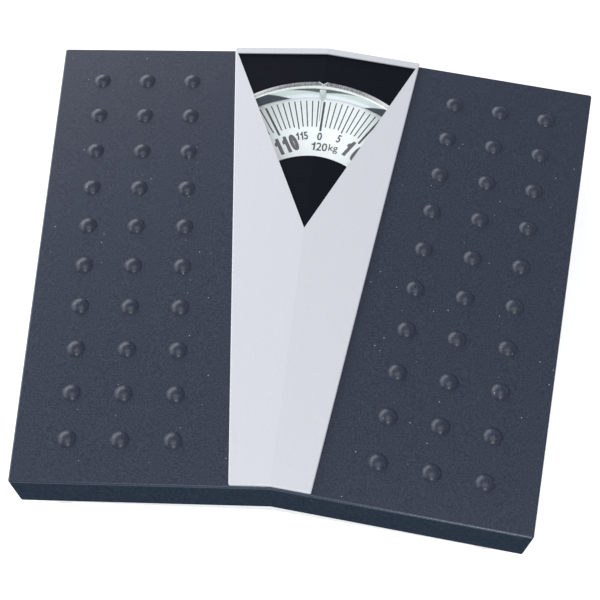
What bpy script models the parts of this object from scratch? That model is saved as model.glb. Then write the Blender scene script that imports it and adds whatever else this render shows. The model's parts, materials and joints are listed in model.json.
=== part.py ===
"""Mechanical bathroom scale: a pressed platform with a dial window, carried by levers in a base pan.

One long and two short levers bring the load on the platform to a calibrating plate that hangs on the main
spring. A bell crank turns the plate's small drop into the travel of a rack, and the rack turns the dial.
Lengths are in metres, +Z is up, +Y is the toe side, and the origin is on the floor under the middle.
"""

import math

import bmesh
import bpy
import numpy as np
from mathutils import Matrix, Vector

# Platform, seen from above
PLATFORM_DEPTH = 0.2612
FRONT_HALF_WIDTH = 0.1214
REAR_HALF_WIDTH = 0.1480
EDGE_SWEEP = math.radians(4.05)
CORNER_RADIUS = 0.0040
CORNER_STEPS = 4

# Platform, in section
RIDGE_HEIGHT = 0.0480
ROOF_ANGLE = math.radians(2.0)
SKIRT_DEPTH = 0.0230
COVER_WALL = 0.0012
COVER_EDGE_RADIUS = 0.0024
EDGE_STEPS = 3

# Domes pressed into the platform
DOME_COLUMNS = 3
DOME_ROWS = 10
DOME_BESIDE_BEZEL = 0.02685
DOME_BESIDE_EDGE = 0.02595
DOME_FIRST_FROM_FRONT = 0.0192
DOME_LAST_FROM_REAR = 0.0278
DOME_COLUMN_DROP = 0.00192
DOME_RADIUS = 0.0046
DOME_HEIGHT = 0.0024
DOME_ROOT = 0.0005
DOME_SIDES = 10
DOME_RINGS = 8

# Silver bezel along the ridge
BEZEL_REAR_HALF = 0.05175
BEZEL_FRONT_HALF = 0.01905
BEZEL_PROUD = 0.0020
BEZEL_WALL = 0.0007
BEZEL_OVERHANG = 0.0007
BEZEL_SETBACK = 0.0010
BEZEL_CORNER_RADIUS = 0.0022
BEZEL_CORNER_STEPS = 3
BEZEL_EDGE_RADIUS = 0.0011
OPENING_REAR_HALF = 0.04985
OPENING_REAR_STRIP = 0.00425
OPENING_LENGTH = 0.1160
BEZEL_PEG_RADIUS = 0.0020
BEZEL_PEG_LENGTH = 0.0060
PUSH_NUT_RADIUS = 0.0042
PUSH_NUT_THICKNESS = 0.0006
PEG_FROM_FRONT = 0.0207
PEG_BEHIND_APEX = 0.0030
PEG_FRONT_HALF = 0.0120
PEG_REAR_HALF = 0.0220

# Window: black mask, clear lens and the index moulded with it
MASK_THICKNESS = 0.0007
MASK_MARGIN = 0.0030
MASK_REAR_MARGIN = 0.0015
WINDOW_RADIUS = 0.0669
SECTOR_RADIUS = 0.03675
SECTOR_CENTRE_FROM_DIAL = 0.0197
LENS_THICKNESS = 0.0012
LENS_TOP_DROP = 0.0018
LENS_LAP = 0.0006
LENS_WALL_DEPTH = 0.0068
LENS_WALL_THICKNESS = 0.0012
INDEX_HALF_WIDTH = 0.00185
INDEX_LENGTH = 0.0075
INDEX_SHOULDER = 0.0030
INDEX_DEPTH = 0.0045
INDEX_LINE_HALF = 0.00025
INDEX_LINE_LENGTH = 0.0140
INDEX_LINE_DEPTH = 0.0010

# Dial and its shaft
DIAL_RADIUS = 0.0671
DIAL_THICKNESS = 0.0012
DIAL_DROP = 0.0125
DIAL_FROM_REAR = 0.09035
DIAL_SIDES = 96
DIAL_HUB_RADIUS = 0.0090
DIAL_HUB_THICKNESS = 0.0009
DIAL_CLIP_RADIUS = 0.0040
DIAL_CLIP_HEIGHT = 0.0014
SHAFT_RADIUS = 0.0012
SHAFT_FOOT = 0.0055
BUSHING_RADIUS = 0.0040
BUSHING_LENGTH = 0.0060
BUSHING_FLANGE_RADIUS = 0.0055
BUSHING_FLANGE_THICKNESS = 0.0008

# Clearances
SEAT_GAP = 0.0003
RUNNING_GAP = 0.0005
CUT_OVERRUN = 0.0020
MERGE_DISTANCE = 0.000005
FULL_SHARE = 1.0
MIDDLE_SHARE = 0.01

# Base pan and feet
FOOT_HEIGHT = 0.0077
FOOT_RADIUS = 0.0120
FOOT_TOP_RADIUS = 0.0100
FOOT_STUD_RADIUS = 0.0034
FOOT_HEAD_RADIUS = 0.0048
FOOT_HEAD_HEIGHT = 0.0014
FOOT_FROM_SIDE = 0.0195
FOOT_FROM_FRONT = 0.0107
FOOT_FROM_REAR = 0.0325
BASE_WALL = 0.0010
BASE_CLEARANCE = 0.0023
BASE_HEIGHT = 0.0190
BASE_BEND_RADIUS = 0.0030
BEAD_HALF_WIDTH = 0.0040
BEAD_HEIGHT = 0.0016
BEAD_FROM_FRONT = 0.0367
BEAD_SIDE_HALF_LENGTH = 0.0420
BEAD_BESIDE_HOLD = 0.0220
BEAD_CROSS_HALF_LENGTH = 0.0450

# Levers
PIN_LEVEL = 0.0190
FULCRUM_FROM_FRONT = 0.0126
FULCRUM_FROM_REAR = 0.0345
FRONT_FULCRUM_FROM_SIDE = 0.0376
REAR_FULCRUM_FROM_SIDE = 0.0395
LOAD_ARM = 0.0200
TIP_TRAVEL = 0.0080
LEVER_WALL = 0.0012
LEVER_FLANGE = 0.0060
PAD_HALF_WIDTH = 0.0060
PAD_BEHIND = 0.0070
PAD_AHEAD = 0.0260
YOKE_FRONT_BEFORE_TIP = 0.0360
YOKE_FRONT_HALF = 0.0100
YOKE_REAR_BEFORE_TIP = 0.0320
YOKE_REAR_HALF = 0.0200
NOSE_LENGTH = 0.0200
NOSE_START_HALF = 0.0120
TONGUE_LENGTH = 0.0160
TONGUE_HALF_WIDTH = 0.0080
TONGUE_BEYOND = 0.0040
SHORT_RISE = 0.0025
SHORT_PAD_AHEAD = 0.0310
SHORT_TONGUE_HALF = 0.0045
SHORT_TONGUE_LENGTH = 0.0180
SHORT_TONGUE_BEYOND = 0.0050
RIDGE_BAR_RADIUS = 0.0010
RIDGE_BAR_SHARE = 0.9
PIN_RADIUS = 0.0020
PIN_HALF_LENGTH = 0.0100
PIN_SIDES = 16

# Notched brackets that carry the fulcrum pins, and seats that rest on the load pins
CHEEK_HALF_SPREAD = 0.0080
CHEEK_HALF_WIDTH = 0.0070
BRACKET_WALL = 0.0015
NOTCH_DEPTH = 0.0045

# Calibrating plate
SPRING_FROM_REAR = 0.0138
LIP_BEFORE_SPRING = 0.0348
PLATE_TOP = 0.0225
PLATE_THICKNESS = 0.0015
PLATE_HALF_WIDTH = 0.0090
PLATE_FROM_REAR = 0.0051
PLATE_LIP_HALF = 0.0070
LUG_FRONT_FROM_CRANK = 0.0060
LUG_REAR_FROM_CRANK = 0.0100
LUG_OUTER_X = 0.0178
SPRING_PLUG_HEIGHT = 0.0030

# Main spring, its hanger and the zero adjuster
SPRING_MEAN_RADIUS = 0.00765
SPRING_WIRE_RADIUS = 0.0011
SPRING_CURLS = 4
CURL_POINTS = 10
SPRING_PITCH = 0.0029
PLUG_RADIUS = 0.0062
HANGER_FLANGE_RADIUS = 0.0088
HANGER_FLANGE_THICKNESS = 0.0015
BRIDGE_LEVEL = 0.0400
BRIDGE_HALF_SPAN = 0.0200
BRIDGE_HALF_WIDTH = 0.0050
BRIDGE_WALL = 0.0015
BRIDGE_FOOT = 0.0070
SCREW_RADIUS = 0.0025
SCREW_TOP = 0.0445
WHEEL_RADIUS = 0.0125
WHEEL_THICKNESS = 0.0026
WHEEL_RIDGES = 36
WHEEL_RIDGE_DEPTH = 0.0004
WHEEL_SLOT_MARGIN = 0.0008

# Bell crank
CRANK_BEHIND_LIP = 0.0100
CRANK_X = 0.0150
CRANK_LEVEL = 0.0155
CRANK_SWING = math.radians(70.0)
CRANK_OUTPUT = 0.0150
CRANK_WALL = 0.0015
CRANK_HUB_RADIUS = 0.0030
CRANK_TIP_RADIUS = 0.0012
CRANK_PIN_RADIUS = 0.0012
CRANK_PIN_END_X = 0.0106
CRANK_SHAFT_RADIUS = 0.0015
CRANK_SHAFT_HALF_LENGTH = 0.0058
CRANK_HUB_HALF_LENGTH = 0.0026
CRANK_CHEEK_HALF_SPREAD = 0.0040
CRANK_CHEEK_HALF_WIDTH = 0.0036
CRANK_CHEEK_TOP = 0.0188

# Rack and pinion
PINION_TEETH = 11
PINION_HEIGHT = 0.0020
PINION_BELOW_RACK = 0.0003
TOOTH_ADDENDUM = 0.00036
TOOTH_CLEARANCE = 0.00028
TOOTH_TIP_SHARE = 0.26
TOOTH_ROOT_SHARE = 0.50
RACK_LEVEL = 0.0300
RACK_THICKNESS = 0.0012
RACK_BODY_WIDTH = 0.0050
RACK_TOOTH_LEAD = 0.0040
RACK_NOSE = 0.0040
RACK_TAB_X = 0.0124
RACK_TAB_HALF_LENGTH = 0.0036
RACK_TAB_LOW = 0.0250
RACK_TAB_HIGH = 0.0333
SLOT_HALF_WIDTH = 0.0016
SLOT_END_MARGIN = 0.0006

# Dial bridge
DIAL_BRIDGE_LEVEL = 0.0280
DIAL_BRIDGE_HALF_SPAN = 0.0480
DIAL_BRIDGE_HALF_WIDTH = 0.0090
DIAL_BRIDGE_FOOT = 0.0080
GUIDE_HEIGHT = 0.0030
GUIDE_HALF_LENGTH = 0.0060
GUIDE_WALL = 0.0015
HOOK_ARM_WIDTH = 0.0050
HOOK_HALF_WIDTH = 0.0020
HOOK_BEFORE_DIAL = 0.0432
HOOK_HEIGHT = 0.0032

# Rack return spring
RETURN_MEAN_RADIUS = 0.0022
RETURN_WIRE_RADIUS = 0.00035
RETURN_CURLS = 11
RETURN_PITCH = 0.00130

# Springs that hold the platform down on its levers
HOLD_FROM_SIDE = 0.0183
HOLD_BEHIND_MIDDLE = 0.0060
HOLD_MEAN_RADIUS = 0.0032
HOLD_WIRE_RADIUS = 0.0005
HOLD_CURLS = 9
HOLD_PITCH = 0.00175
HOLD_TAB_HALF_WIDTH = 0.0040
HOLD_TAB_WALL = 0.0015
HOLD_TAB_LAP = 0.0004
HOLD_CENTRE_LEVEL = 0.0258

# Places worked out from the sizes above
SWEEP = math.tan(EDGE_SWEEP)
ROOF = math.tan(ROOF_ANGLE)
CORNER_DROP = FRONT_HALF_WIDTH * SWEEP
OVERALL_DEPTH = PLATFORM_DEPTH + BEZEL_OVERHANG + CORNER_DROP
FRONT_Y = CORNER_DROP - OVERALL_DEPTH / 2
REAR_Y = FRONT_Y + PLATFORM_DEPTH
SIDE_LENGTH = PLATFORM_DEPTH - (REAR_HALF_WIDTH - FRONT_HALF_WIDTH) * SWEEP
SIDE_LEAN = (REAR_HALF_WIDTH - FRONT_HALF_WIDTH) / SIDE_LENGTH
BEZEL_LEAN = (BEZEL_REAR_HALF - BEZEL_FRONT_HALF) / PLATFORM_DEPTH
FLOOR_LOW = FOOT_HEIGHT + SEAT_GAP
FLOOR_TOP = FLOOR_LOW + BASE_WALL
FLOOR_SEAT = FLOOR_TOP + SEAT_GAP
DIAL_TOP = RIDGE_HEIGHT - DIAL_DROP
DIAL_LOW = DIAL_TOP - DIAL_THICKNESS
LENS_TOP = RIDGE_HEIGHT - LENS_TOP_DROP
LENS_LOW = LENS_TOP - LENS_THICKNESS
SPRING_Y = REAR_Y - SPRING_FROM_REAR
LIP_Y = SPRING_Y - LIP_BEFORE_SPRING
CRANK_Y = LIP_Y + CRANK_BEHIND_LIP
DIAL_Y = REAR_Y - DIAL_FROM_REAR
HOOK_Y = DIAL_Y - HOOK_BEFORE_DIAL
HOLD_Y = (FRONT_Y + REAR_Y) / 2 + HOLD_BEHIND_MIDDLE
FRONT_FULCRUM_Y = FRONT_Y + FULCRUM_FROM_FRONT
REAR_FULCRUM_Y = REAR_Y - FULCRUM_FROM_REAR
COUPLING_Y = (FRONT_FULCRUM_Y + REAR_FULCRUM_Y) / 2
LONG_REACH = LIP_Y - FRONT_FULCRUM_Y
SHORT_REACH = REAR_FULCRUM_Y - COUPLING_Y
LEVER_TILT = math.asin(TIP_TRAVEL / 2 / LONG_REACH)
NOTCH_SEAT = (PIN_RADIUS + SEAT_GAP) * math.sqrt(2)
CRANK_INPUT = TIP_TRAVEL / 2 / math.sin(CRANK_SWING / 2)
RACK_TRAVEL = 2 * CRANK_OUTPUT * math.sin(CRANK_SWING / 2)
PITCH_RADIUS = RACK_TRAVEL / math.tau
TOOTH_PITCH = RACK_TRAVEL / PINION_TEETH
PLATE_LOW = PLATE_TOP - PLATE_THICKNESS
HANGER_LOW = PLATE_TOP + SEAT_GAP * 2 + SPRING_WIRE_RADIUS * 2 + SPRING_CURLS * SPRING_PITCH


def side_x(y):
    """Where the platform's side stands at this place along Y."""
    return FRONT_HALF_WIDTH + (y - (FRONT_Y - CORNER_DROP)) * SIDE_LEAN


def roof(x, lift=0.0):
    """Height of the platform's top at this distance from the ridge, raised by lift."""
    return RIDGE_HEIGHT - abs(x) * ROOF + lift


def level(height):
    """A height rule for a flat sheet."""
    return lambda x: height


def rounded(points, radius, skip=(), steps=CORNER_STEPS):
    """The outline with each corner turned into an arc, but for the corners listed in skip."""
    outline = []
    count = len(points)
    for i, point in enumerate(points):
        here = Vector(point)
        if i in skip:
            outline.append(tuple(here))
            continue
        before = (Vector(points[i - 1]) - here).normalized()
        after = (Vector(points[(i + 1) % count]) - here).normalized()
        half = before.angle(after) / 2
        reach = radius / math.tan(half)
        centre = here + (before + after).normalized() * (radius / math.sin(half))
        start = here + before * reach - centre
        end = here + after * reach - centre
        turn = start.angle_signed(end)
        for step in range(steps + 1):
            spoke = start.copy()
            spoke.rotate(Matrix.Rotation(-turn * step / steps, 2))
            outline.append(tuple(centre + spoke))
    return outline


def arc(centre, radius, start, end, steps):
    """Points on an arc from start to end, in radians from +X."""
    angles = np.linspace(start, end, steps + 1)
    return [(centre[0] + radius * math.cos(a), centre[1] + radius * math.sin(a)) for a in angles]


def circle(centre, radius, steps):
    return arc(centre, radius, 0, math.tau, steps)[:-1]


def platform_half(inset=0.0):
    """Right half of the platform's outline from the front kink to the rear kink, drawn in by inset."""
    front = FRONT_Y + inset / math.cos(EDGE_SWEEP)
    rear = REAR_Y - inset / math.cos(EDGE_SWEEP)
    side_shift = inset * math.hypot(1, SIDE_LEAN)
    corners = []
    for start in (front, rear):
        # The edge y = start - x * SWEEP meets the side, shifted in by side_shift
        x = (side_x(start) - side_shift) / (1 + SIDE_LEAN * SWEEP)
        corners.append((x, start - x * SWEEP))
    return [(0, front), corners[0], corners[1], (0, rear)]


def clear_scene():
    for obj in list(bpy.data.objects):
        bpy.data.objects.remove(obj, do_unlink=True)
    for collection in list(bpy.data.collections):
        bpy.data.collections.remove(collection)


def new_collection(name):
    collection = bpy.data.collections.new(name)
    bpy.context.scene.collection.children.link(collection)
    return collection


def new_material(name, colour, roughness, metallic=0.0, transmission=0.0):
    material = bpy.data.materials.new(name)
    material.use_nodes = True
    shader = material.node_tree.nodes["Principled BSDF"]
    shader.inputs["Base Color"].default_value = (*colour, 1.0)
    shader.inputs["Roughness"].default_value = roughness
    shader.inputs["Metallic"].default_value = metallic
    shader.inputs["Transmission Weight"].default_value = transmission
    material.diffuse_color = (*colour, 1.0)
    return material


def place(name, mesh, material, collection):
    obj = bpy.data.objects.new(name, mesh)
    if material:
        mesh.materials.clear()
        mesh.materials.append(material)
    collection.objects.link(obj)
    return obj


def mesh_of(bm, name):
    bmesh.ops.recalc_face_normals(bm, faces=bm.faces)
    mesh = bpy.data.meshes.new(name)
    bm.to_mesh(mesh)
    bm.free()
    return mesh


def smooth(obj, angle=math.radians(35)):
    obj.data.shade_smooth()
    obj.data.set_sharp_from_angle(angle=angle)
    return obj


def cutter(name, mesh):
    obj = place(name, mesh, None, CUTTERS)
    obj.hide_render = True
    obj.display_type = "WIRE"
    return obj


def boolean(obj, other, operation):
    """Cuts the other piece from this one, or joins it on."""
    modifier = obj.modifiers.new(f"{operation.lower()} {other.name}", "BOOLEAN")
    modifier.object = other
    modifier.operation = operation
    modifier.solver = "EXACT"
    return obj


def pressed(name, outline, height_at, flange, wall, material, plain=(), bend=0.0, mirrored=True):
    """A pressed sheet: flat or creased inside the outline, its edge turned down, or up for a negative flange.

    A mirrored part gives its right half's outline. The edges whose numbers are in plain are left flat.
    """
    bm = bmesh.new()
    corners = [bm.verts.new((x, y, height_at(x))) for x, y in outline]
    sheet = bm.faces.new(corners)
    sheet.normal_update()
    if sheet.normal.z < 0:
        sheet.normal_flip()
    count = len(corners)
    last = count - 1 if mirrored else count
    folds = [
        bm.edges.get((corners[i], corners[(i + 1) % count])) for i in range(last) if i not in plain
    ]
    walls = bmesh.ops.extrude_edge_only(bm, edges=folds)
    lowered = [v for v in walls["geom"] if isinstance(v, bmesh.types.BMVert)]
    bmesh.ops.translate(bm, verts=lowered, vec=(0, 0, -flange))
    if bend:
        bmesh.ops.bevel(
            bm, geom=folds, offset=bend, segments=EDGE_STEPS, profile=0.5, affect="EDGES"
        )
    bmesh.ops.recalc_face_normals(bm, faces=bm.faces)
    top = max(bm.faces, key=lambda f: f.calc_area())
    if (top.normal.z < 0) == (flange > 0):
        bmesh.ops.reverse_faces(bm, faces=bm.faces)
    mesh = bpy.data.meshes.new(name)
    bm.to_mesh(mesh)
    bm.free()
    obj = place(name, mesh, material, PARTS)
    if mirrored:
        mirror = obj.modifiers.new("other half", "MIRROR")
        mirror.merge_threshold = MERGE_DISTANCE
    thickness = obj.modifiers.new("sheet thickness", "SOLIDIFY")
    thickness.thickness = wall
    thickness.offset = -1
    thickness.use_even_offset = True
    return obj


def plate(name, outlines, low, high, material=None, as_cutter=False):
    """A flat plate between two heights: the first outline is its edge, and the others are its holes."""
    curve = bpy.data.curves.new(name, "CURVE")
    curve.dimensions = "2D"
    curve.fill_mode = "BOTH"
    curve.extrude = (high - low) / 2
    for outline in outlines:
        spline = curve.splines.new("POLY")
        spline.points.add(len(outline) - 1)
        for point, (x, y) in zip(spline.points, outline):
            point.co = (x, y, 0, 1)
        spline.use_cyclic_u = True
    guide = bpy.data.objects.new(name, curve)
    PARTS.objects.link(guide)
    guide.location.z = (low + high) / 2
    mesh = mesh_from(guide, name)
    return cutter(name, mesh) if as_cutter else place(name, mesh, material, PARTS)


def mesh_from(guide, name):
    """The closed mesh of a curve object, in world space. The curve is removed."""
    bpy.context.view_layer.update()
    graph = bpy.context.evaluated_depsgraph_get()
    mesh = bpy.data.meshes.new_from_object(guide.evaluated_get(graph))
    mesh.transform(guide.matrix_world)
    bm = bmesh.new()
    bm.from_mesh(mesh)
    bmesh.ops.remove_doubles(bm, verts=bm.verts, dist=MERGE_DISTANCE)
    bmesh.ops.recalc_face_normals(bm, faces=bm.faces)
    bm.to_mesh(mesh)
    bm.free()
    curve = guide.data
    bpy.data.objects.remove(guide)
    bpy.data.curves.remove(curve)
    mesh.name = name
    return mesh


def box_mesh(name, low, high):
    bm = bmesh.new()
    bmesh.ops.create_cube(bm, size=FULL_SHARE)
    size = Vector(high) - Vector(low)
    middle = (Vector(high) + Vector(low)) / 2
    shape = Matrix.Translation(middle) @ Matrix.Diagonal((*size, 1))
    bmesh.ops.transform(bm, matrix=shape, verts=bm.verts)
    return mesh_of(bm, name)


def rod_mesh(name, radius, start, end, sides):
    """A round rod between two points."""
    start, end = Vector(start), Vector(end)
    axis = end - start
    bm = bmesh.new()
    bmesh.ops.create_cone(
        bm, cap_ends=True, segments=sides, radius1=radius, radius2=radius, depth=axis.length
    )
    turn = axis.to_track_quat("Z", "X").to_matrix().to_4x4()
    bmesh.ops.transform(bm, matrix=Matrix.Translation((start + end) / 2) @ turn, verts=bm.verts)
    return mesh_of(bm, name)


def upright_rod(name, radius, x, y, low, high, sides=PIN_SIDES):
    return rod_mesh(name, radius, (x, y, low), (x, y, high), sides)


def joined(name, meshes, as_cutter=True):
    """Several closed meshes in one mesh, for a single cut or join."""
    bm = bmesh.new()
    for mesh in meshes:
        bm.from_mesh(mesh)
        bpy.data.meshes.remove(mesh)
    mesh = bpy.data.meshes.new(name)
    bm.to_mesh(mesh)
    bm.free()
    return cutter(name, mesh) if as_cutter else mesh


def turned(name, profile, material, sides=32, closed_loop=False):
    """A turned piece: the profile, from the top down its outer side, swept round the Z axis."""
    bm = bmesh.new()
    points = [bm.verts.new((radius, 0, height)) for radius, height in profile]
    for first, second in zip(points, points[1:]):
        bm.edges.new((first, second))
    if closed_loop:
        bm.edges.new((points[-1], points[0]))
    mesh = bpy.data.meshes.new(name)
    bm.to_mesh(mesh)
    bm.free()
    obj = place(name, mesh, material, PARTS)
    screw = obj.modifiers.new("turned", "SCREW")
    screw.steps = sides
    screw.render_steps = sides
    screw.use_merge_vertices = True
    screw.merge_threshold = MERGE_DISTANCE
    screw.use_normal_calculate = False
    return obj


def coil(name, centre, axis, low, mean_radius, wire_radius, curls, pitch, material):
    """A tension spring: one unbroken wire that winds up from low, with straight ends on its axis line."""
    total = int(curls * CURL_POINTS)
    lead = wire_radius * 2
    points = []
    for i in range(total + 1):
        turn = i / CURL_POINTS
        angle = math.tau * turn
        height = low + wire_radius + pitch * turn
        points.append(Vector((mean_radius * math.cos(angle), mean_radius * math.sin(angle), height)))
    first = points[0] + Vector((0, -lead, 0))
    last = points[-1] + Vector((0, lead, 0))
    path = [first] + points + [last]
    print(name, "least gap between curls, mm:", round(least_self_gap(path, wire_radius) * 1000, 2))
    curve = bpy.data.curves.new(name, "CURVE")
    curve.dimensions = "3D"
    curve.bevel_depth = wire_radius
    curve.bevel_resolution = 1
    curve.use_fill_caps = True
    curve.materials.append(material)
    spline = curve.splines.new("POLY")
    spline.points.add(len(path) - 1)
    for point, place_at in zip(spline.points, path):
        point.co = (*place_at, 1)
    obj = bpy.data.objects.new(name, curve)
    PARTS.objects.link(obj)
    obj.location = centre
    obj.rotation_euler = axis
    return obj


def least_self_gap(path, wire_radius):
    """Least distance between the wire's own turns, measured on its points past the next half curl."""
    points = np.array([tuple(p) for p in path])
    apart = np.linalg.norm(points[:, None] - points[None, :], axis=2)
    index = np.arange(len(points))
    near = np.abs(index[:, None] - index[None, :]) < CURL_POINTS // 2
    apart[near] = np.inf
    return apart.min() - 2 * wire_radius


def dome_mesh():
    """The stamp of one dome: a ball cut off just below the sheet's surface, with its crown upward."""
    ball_radius = (DOME_RADIUS**2 + DOME_HEIGHT**2) / (2 * DOME_HEIGHT)
    bm = bmesh.new()
    bmesh.ops.create_uvsphere(bm, u_segments=DOME_SIDES, v_segments=DOME_RINGS, radius=ball_radius)
    bmesh.ops.translate(bm, verts=bm.verts, vec=(0, 0, DOME_HEIGHT - ball_radius))
    cut = bmesh.ops.bisect_plane(
        bm,
        geom=bm.verts[:] + bm.edges[:] + bm.faces[:],
        plane_co=(0, 0, -DOME_ROOT),
        plane_no=(0, 0, -1),
        clear_outer=True,
    )
    rim = [e for e in cut["geom_cut"] if isinstance(e, bmesh.types.BMEdge)]
    bmesh.ops.edgeloop_fill(bm, edges=rim)
    return mesh_of(bm, "dome")


def dome_places():
    """Each dome's place on the platform: three columns by ten rows on each half, splayed like its edges."""
    first_y = FRONT_Y + DOME_FIRST_FROM_FRONT
    first_x = BEZEL_FRONT_HALF + DOME_FIRST_FROM_FRONT * BEZEL_LEAN + DOME_BESIDE_BEZEL
    column_step = (side_x(first_y) - DOME_BESIDE_EDGE - first_x) / (DOME_COLUMNS - 1)
    row_step = (REAR_Y - DOME_LAST_FROM_REAR - first_y) / (DOME_ROWS - 1)
    splay = row_step * (SIDE_LEAN + BEZEL_LEAN) / 2
    for side in (1, -1):
        for column in range(DOME_COLUMNS):
            for row in range(DOME_ROWS):
                x = first_x + column * column_step + row * splay
                y = first_y + row * row_step - column * DOME_COLUMN_DROP
                yield side * x, y, side


def opening_half_width(y):
    """Half the width of the bezel's triangular opening at this place."""
    return OPENING_REAR_HALF * (y - opening_apex()) / opening_run()


def opening_rear():
    return REAR_Y + BEZEL_OVERHANG - OPENING_REAR_STRIP


def opening_apex():
    return opening_rear() - OPENING_LENGTH


def opening_run():
    """From the opening's apex to its rear corners, along Y."""
    return OPENING_LENGTH - OPENING_REAR_HALF * SWEEP


def window_outline(radius_more, side_more, sector_more, steps=20):
    """The window between the mask's two arcs, wider than the view by the three amounts."""
    centre = (0, DIAL_Y)
    sector_centre = (0, DIAL_Y - SECTOR_CENTRE_FROM_DIAL)
    rear_end = arc_meets_side(centre, WINDOW_RADIUS + radius_more, side_more)
    front_end = arc_meets_side(sector_centre, SECTOR_RADIUS - sector_more, side_more)
    rear = arc(centre, WINDOW_RADIUS + radius_more, rear_end, math.pi - rear_end, steps)
    front = arc(sector_centre, SECTOR_RADIUS - sector_more, math.pi - front_end, front_end, steps)
    return rear + front


def arc_meets_side(centre, radius, side_more):
    """The angle at which an arc about a point on the middle plane meets the opening's side."""
    low, high = 0.0, math.pi / 2
    for _ in range(50):
        middle = (low + high) / 2
        x = radius * math.cos(middle)
        y = centre[1] + radius * math.sin(middle)
        if x > opening_half_width(y) + side_more:
            low = middle
        else:
            high = middle
    return low


def make_cover(material):
    outline = rounded(platform_half(), CORNER_RADIUS, skip=(0, 3))
    cover = pressed(
        "platform_cover", outline, roof, SKIRT_DEPTH, COVER_WALL, material, bend=COVER_EDGE_RADIUS
    )
    stamps = []
    stamp = dome_mesh()
    for x, y, side in dome_places():
        copy = stamp.copy()
        tilt = Matrix.Rotation(side * ROOF_ANGLE, 4, "Y")
        copy.transform(Matrix.Translation((x, y, roof(x))) @ tilt)
        stamps.append(copy)
    bpy.data.meshes.remove(stamp)
    boolean(cover, joined("dome_stamps", stamps), "UNION")
    boolean(cover, joined("cover_tabs", hold_tabs(True)), "UNION")
    window = plate(
        "cover_window",
        [window_outline(LENS_LAP + SEAT_GAP, LENS_LAP + SEAT_GAP, LENS_LAP + SEAT_GAP)],
        LENS_LOW - LENS_WALL_DEPTH,
        RIDGE_HEIGHT + CUT_OVERRUN,
        as_cutter=True,
    )
    boolean(cover, window, "DIFFERENCE")
    holes = [
        upright_rod("peg hole", BEZEL_PEG_RADIUS + SEAT_GAP, x, y, DIAL_TOP, RIDGE_HEIGHT + CUT_OVERRUN)
        for x, y in peg_places()
    ]
    boolean(cover, joined("peg_holes", holes), "DIFFERENCE")
    return smooth(cover)


def peg_places():
    for side in (1, -1):
        yield side * PEG_FRONT_HALF, FRONT_Y + PEG_FROM_FRONT
        yield side * PEG_REAR_HALF, opening_apex() + PEG_BEHIND_APEX


def make_bezel(material):
    front = FRONT_Y + BEZEL_SETBACK
    rear = REAR_Y + BEZEL_OVERHANG
    apex = opening_apex()
    corners = [
        (0, front),
        (BEZEL_FRONT_HALF, front - BEZEL_FRONT_HALF * SWEEP),
        (BEZEL_REAR_HALF, rear - BEZEL_REAR_HALF * SWEEP),
        (0, rear),
        (0, opening_rear()),
        (OPENING_REAR_HALF, opening_rear() - OPENING_REAR_HALF * SWEEP),
        (0, apex),
    ]
    outline = rounded(corners, BEZEL_CORNER_RADIUS, (0, 3, 4, 5, 6), BEZEL_CORNER_STEPS)
    ridge_edge = len(outline) - 4
    bezel = pressed(
        "centre_bezel",
        outline,
        lambda x: roof(x, BEZEL_PROUD),
        BEZEL_PROUD - SEAT_GAP,
        BEZEL_WALL,
        material,
        plain=(ridge_edge, ridge_edge + 1, ridge_edge + 2),
        bend=BEZEL_EDGE_RADIUS,
    )
    pegs = [
        upright_rod(
            "peg",
            BEZEL_PEG_RADIUS,
            x,
            y,
            roof(x, -COVER_WALL - BEZEL_PEG_LENGTH / 2),
            roof(x, BEZEL_PROUD - BEZEL_WALL / 2),
        )
        for x, y in peg_places()
    ]
    boolean(bezel, joined("bezel_pegs", pegs), "UNION")
    return smooth(bezel)


def make_push_nuts(material):
    for number, (x, y) in enumerate(peg_places(), 1):
        high = roof(abs(x) + PUSH_NUT_RADIUS, -COVER_WALL - SEAT_GAP)
        plate(
            f"bezel_push_nut_{number}",
            [
                circle((x, y), PUSH_NUT_RADIUS, 20),
                circle((x, y), BEZEL_PEG_RADIUS + SEAT_GAP, 12),
            ],
            high - PUSH_NUT_THICKNESS,
            high,
            material,
        )


def make_mask(material):
    """Black plate under the bezel's opening, creased like it, with the window cut through."""
    rear = opening_rear() + MASK_REAR_MARGIN
    apex = opening_apex() - MASK_MARGIN * 2
    rear_half = OPENING_REAR_HALF
    rear_corner = rear - rear_half * SWEEP
    outline = [
        (0, apex),
        (MASK_MARGIN, apex),
        (rear_half, rear_corner - MASK_REAR_MARGIN),
        (rear_half - MASK_MARGIN, rear_corner),
        (0, rear),
    ]
    bm = bmesh.new()
    corners = [bm.verts.new((x, y, roof(x, SEAT_GAP + MASK_THICKNESS))) for x, y in outline]
    face = bm.faces.new(corners)
    face.normal_update()
    if face.normal.z < 0:
        face.normal_flip()
    mesh = bpy.data.meshes.new("dial_mask")
    bm.to_mesh(mesh)
    bm.free()
    mask = place("dial_mask", mesh, material, PARTS)
    mirror = mask.modifiers.new("other half", "MIRROR")
    mirror.merge_threshold = MERGE_DISTANCE
    thickness = mask.modifiers.new("sheet thickness", "SOLIDIFY")
    thickness.thickness = MASK_THICKNESS
    thickness.offset = -1
    window = plate(
        "mask_window",
        [window_outline(0, SEAT_GAP, 0, steps=40)],
        LENS_LOW,
        RIDGE_HEIGHT + CUT_OVERRUN,
        as_cutter=True,
    )
    boolean(mask, window, "DIFFERENCE")
    return mask


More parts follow.
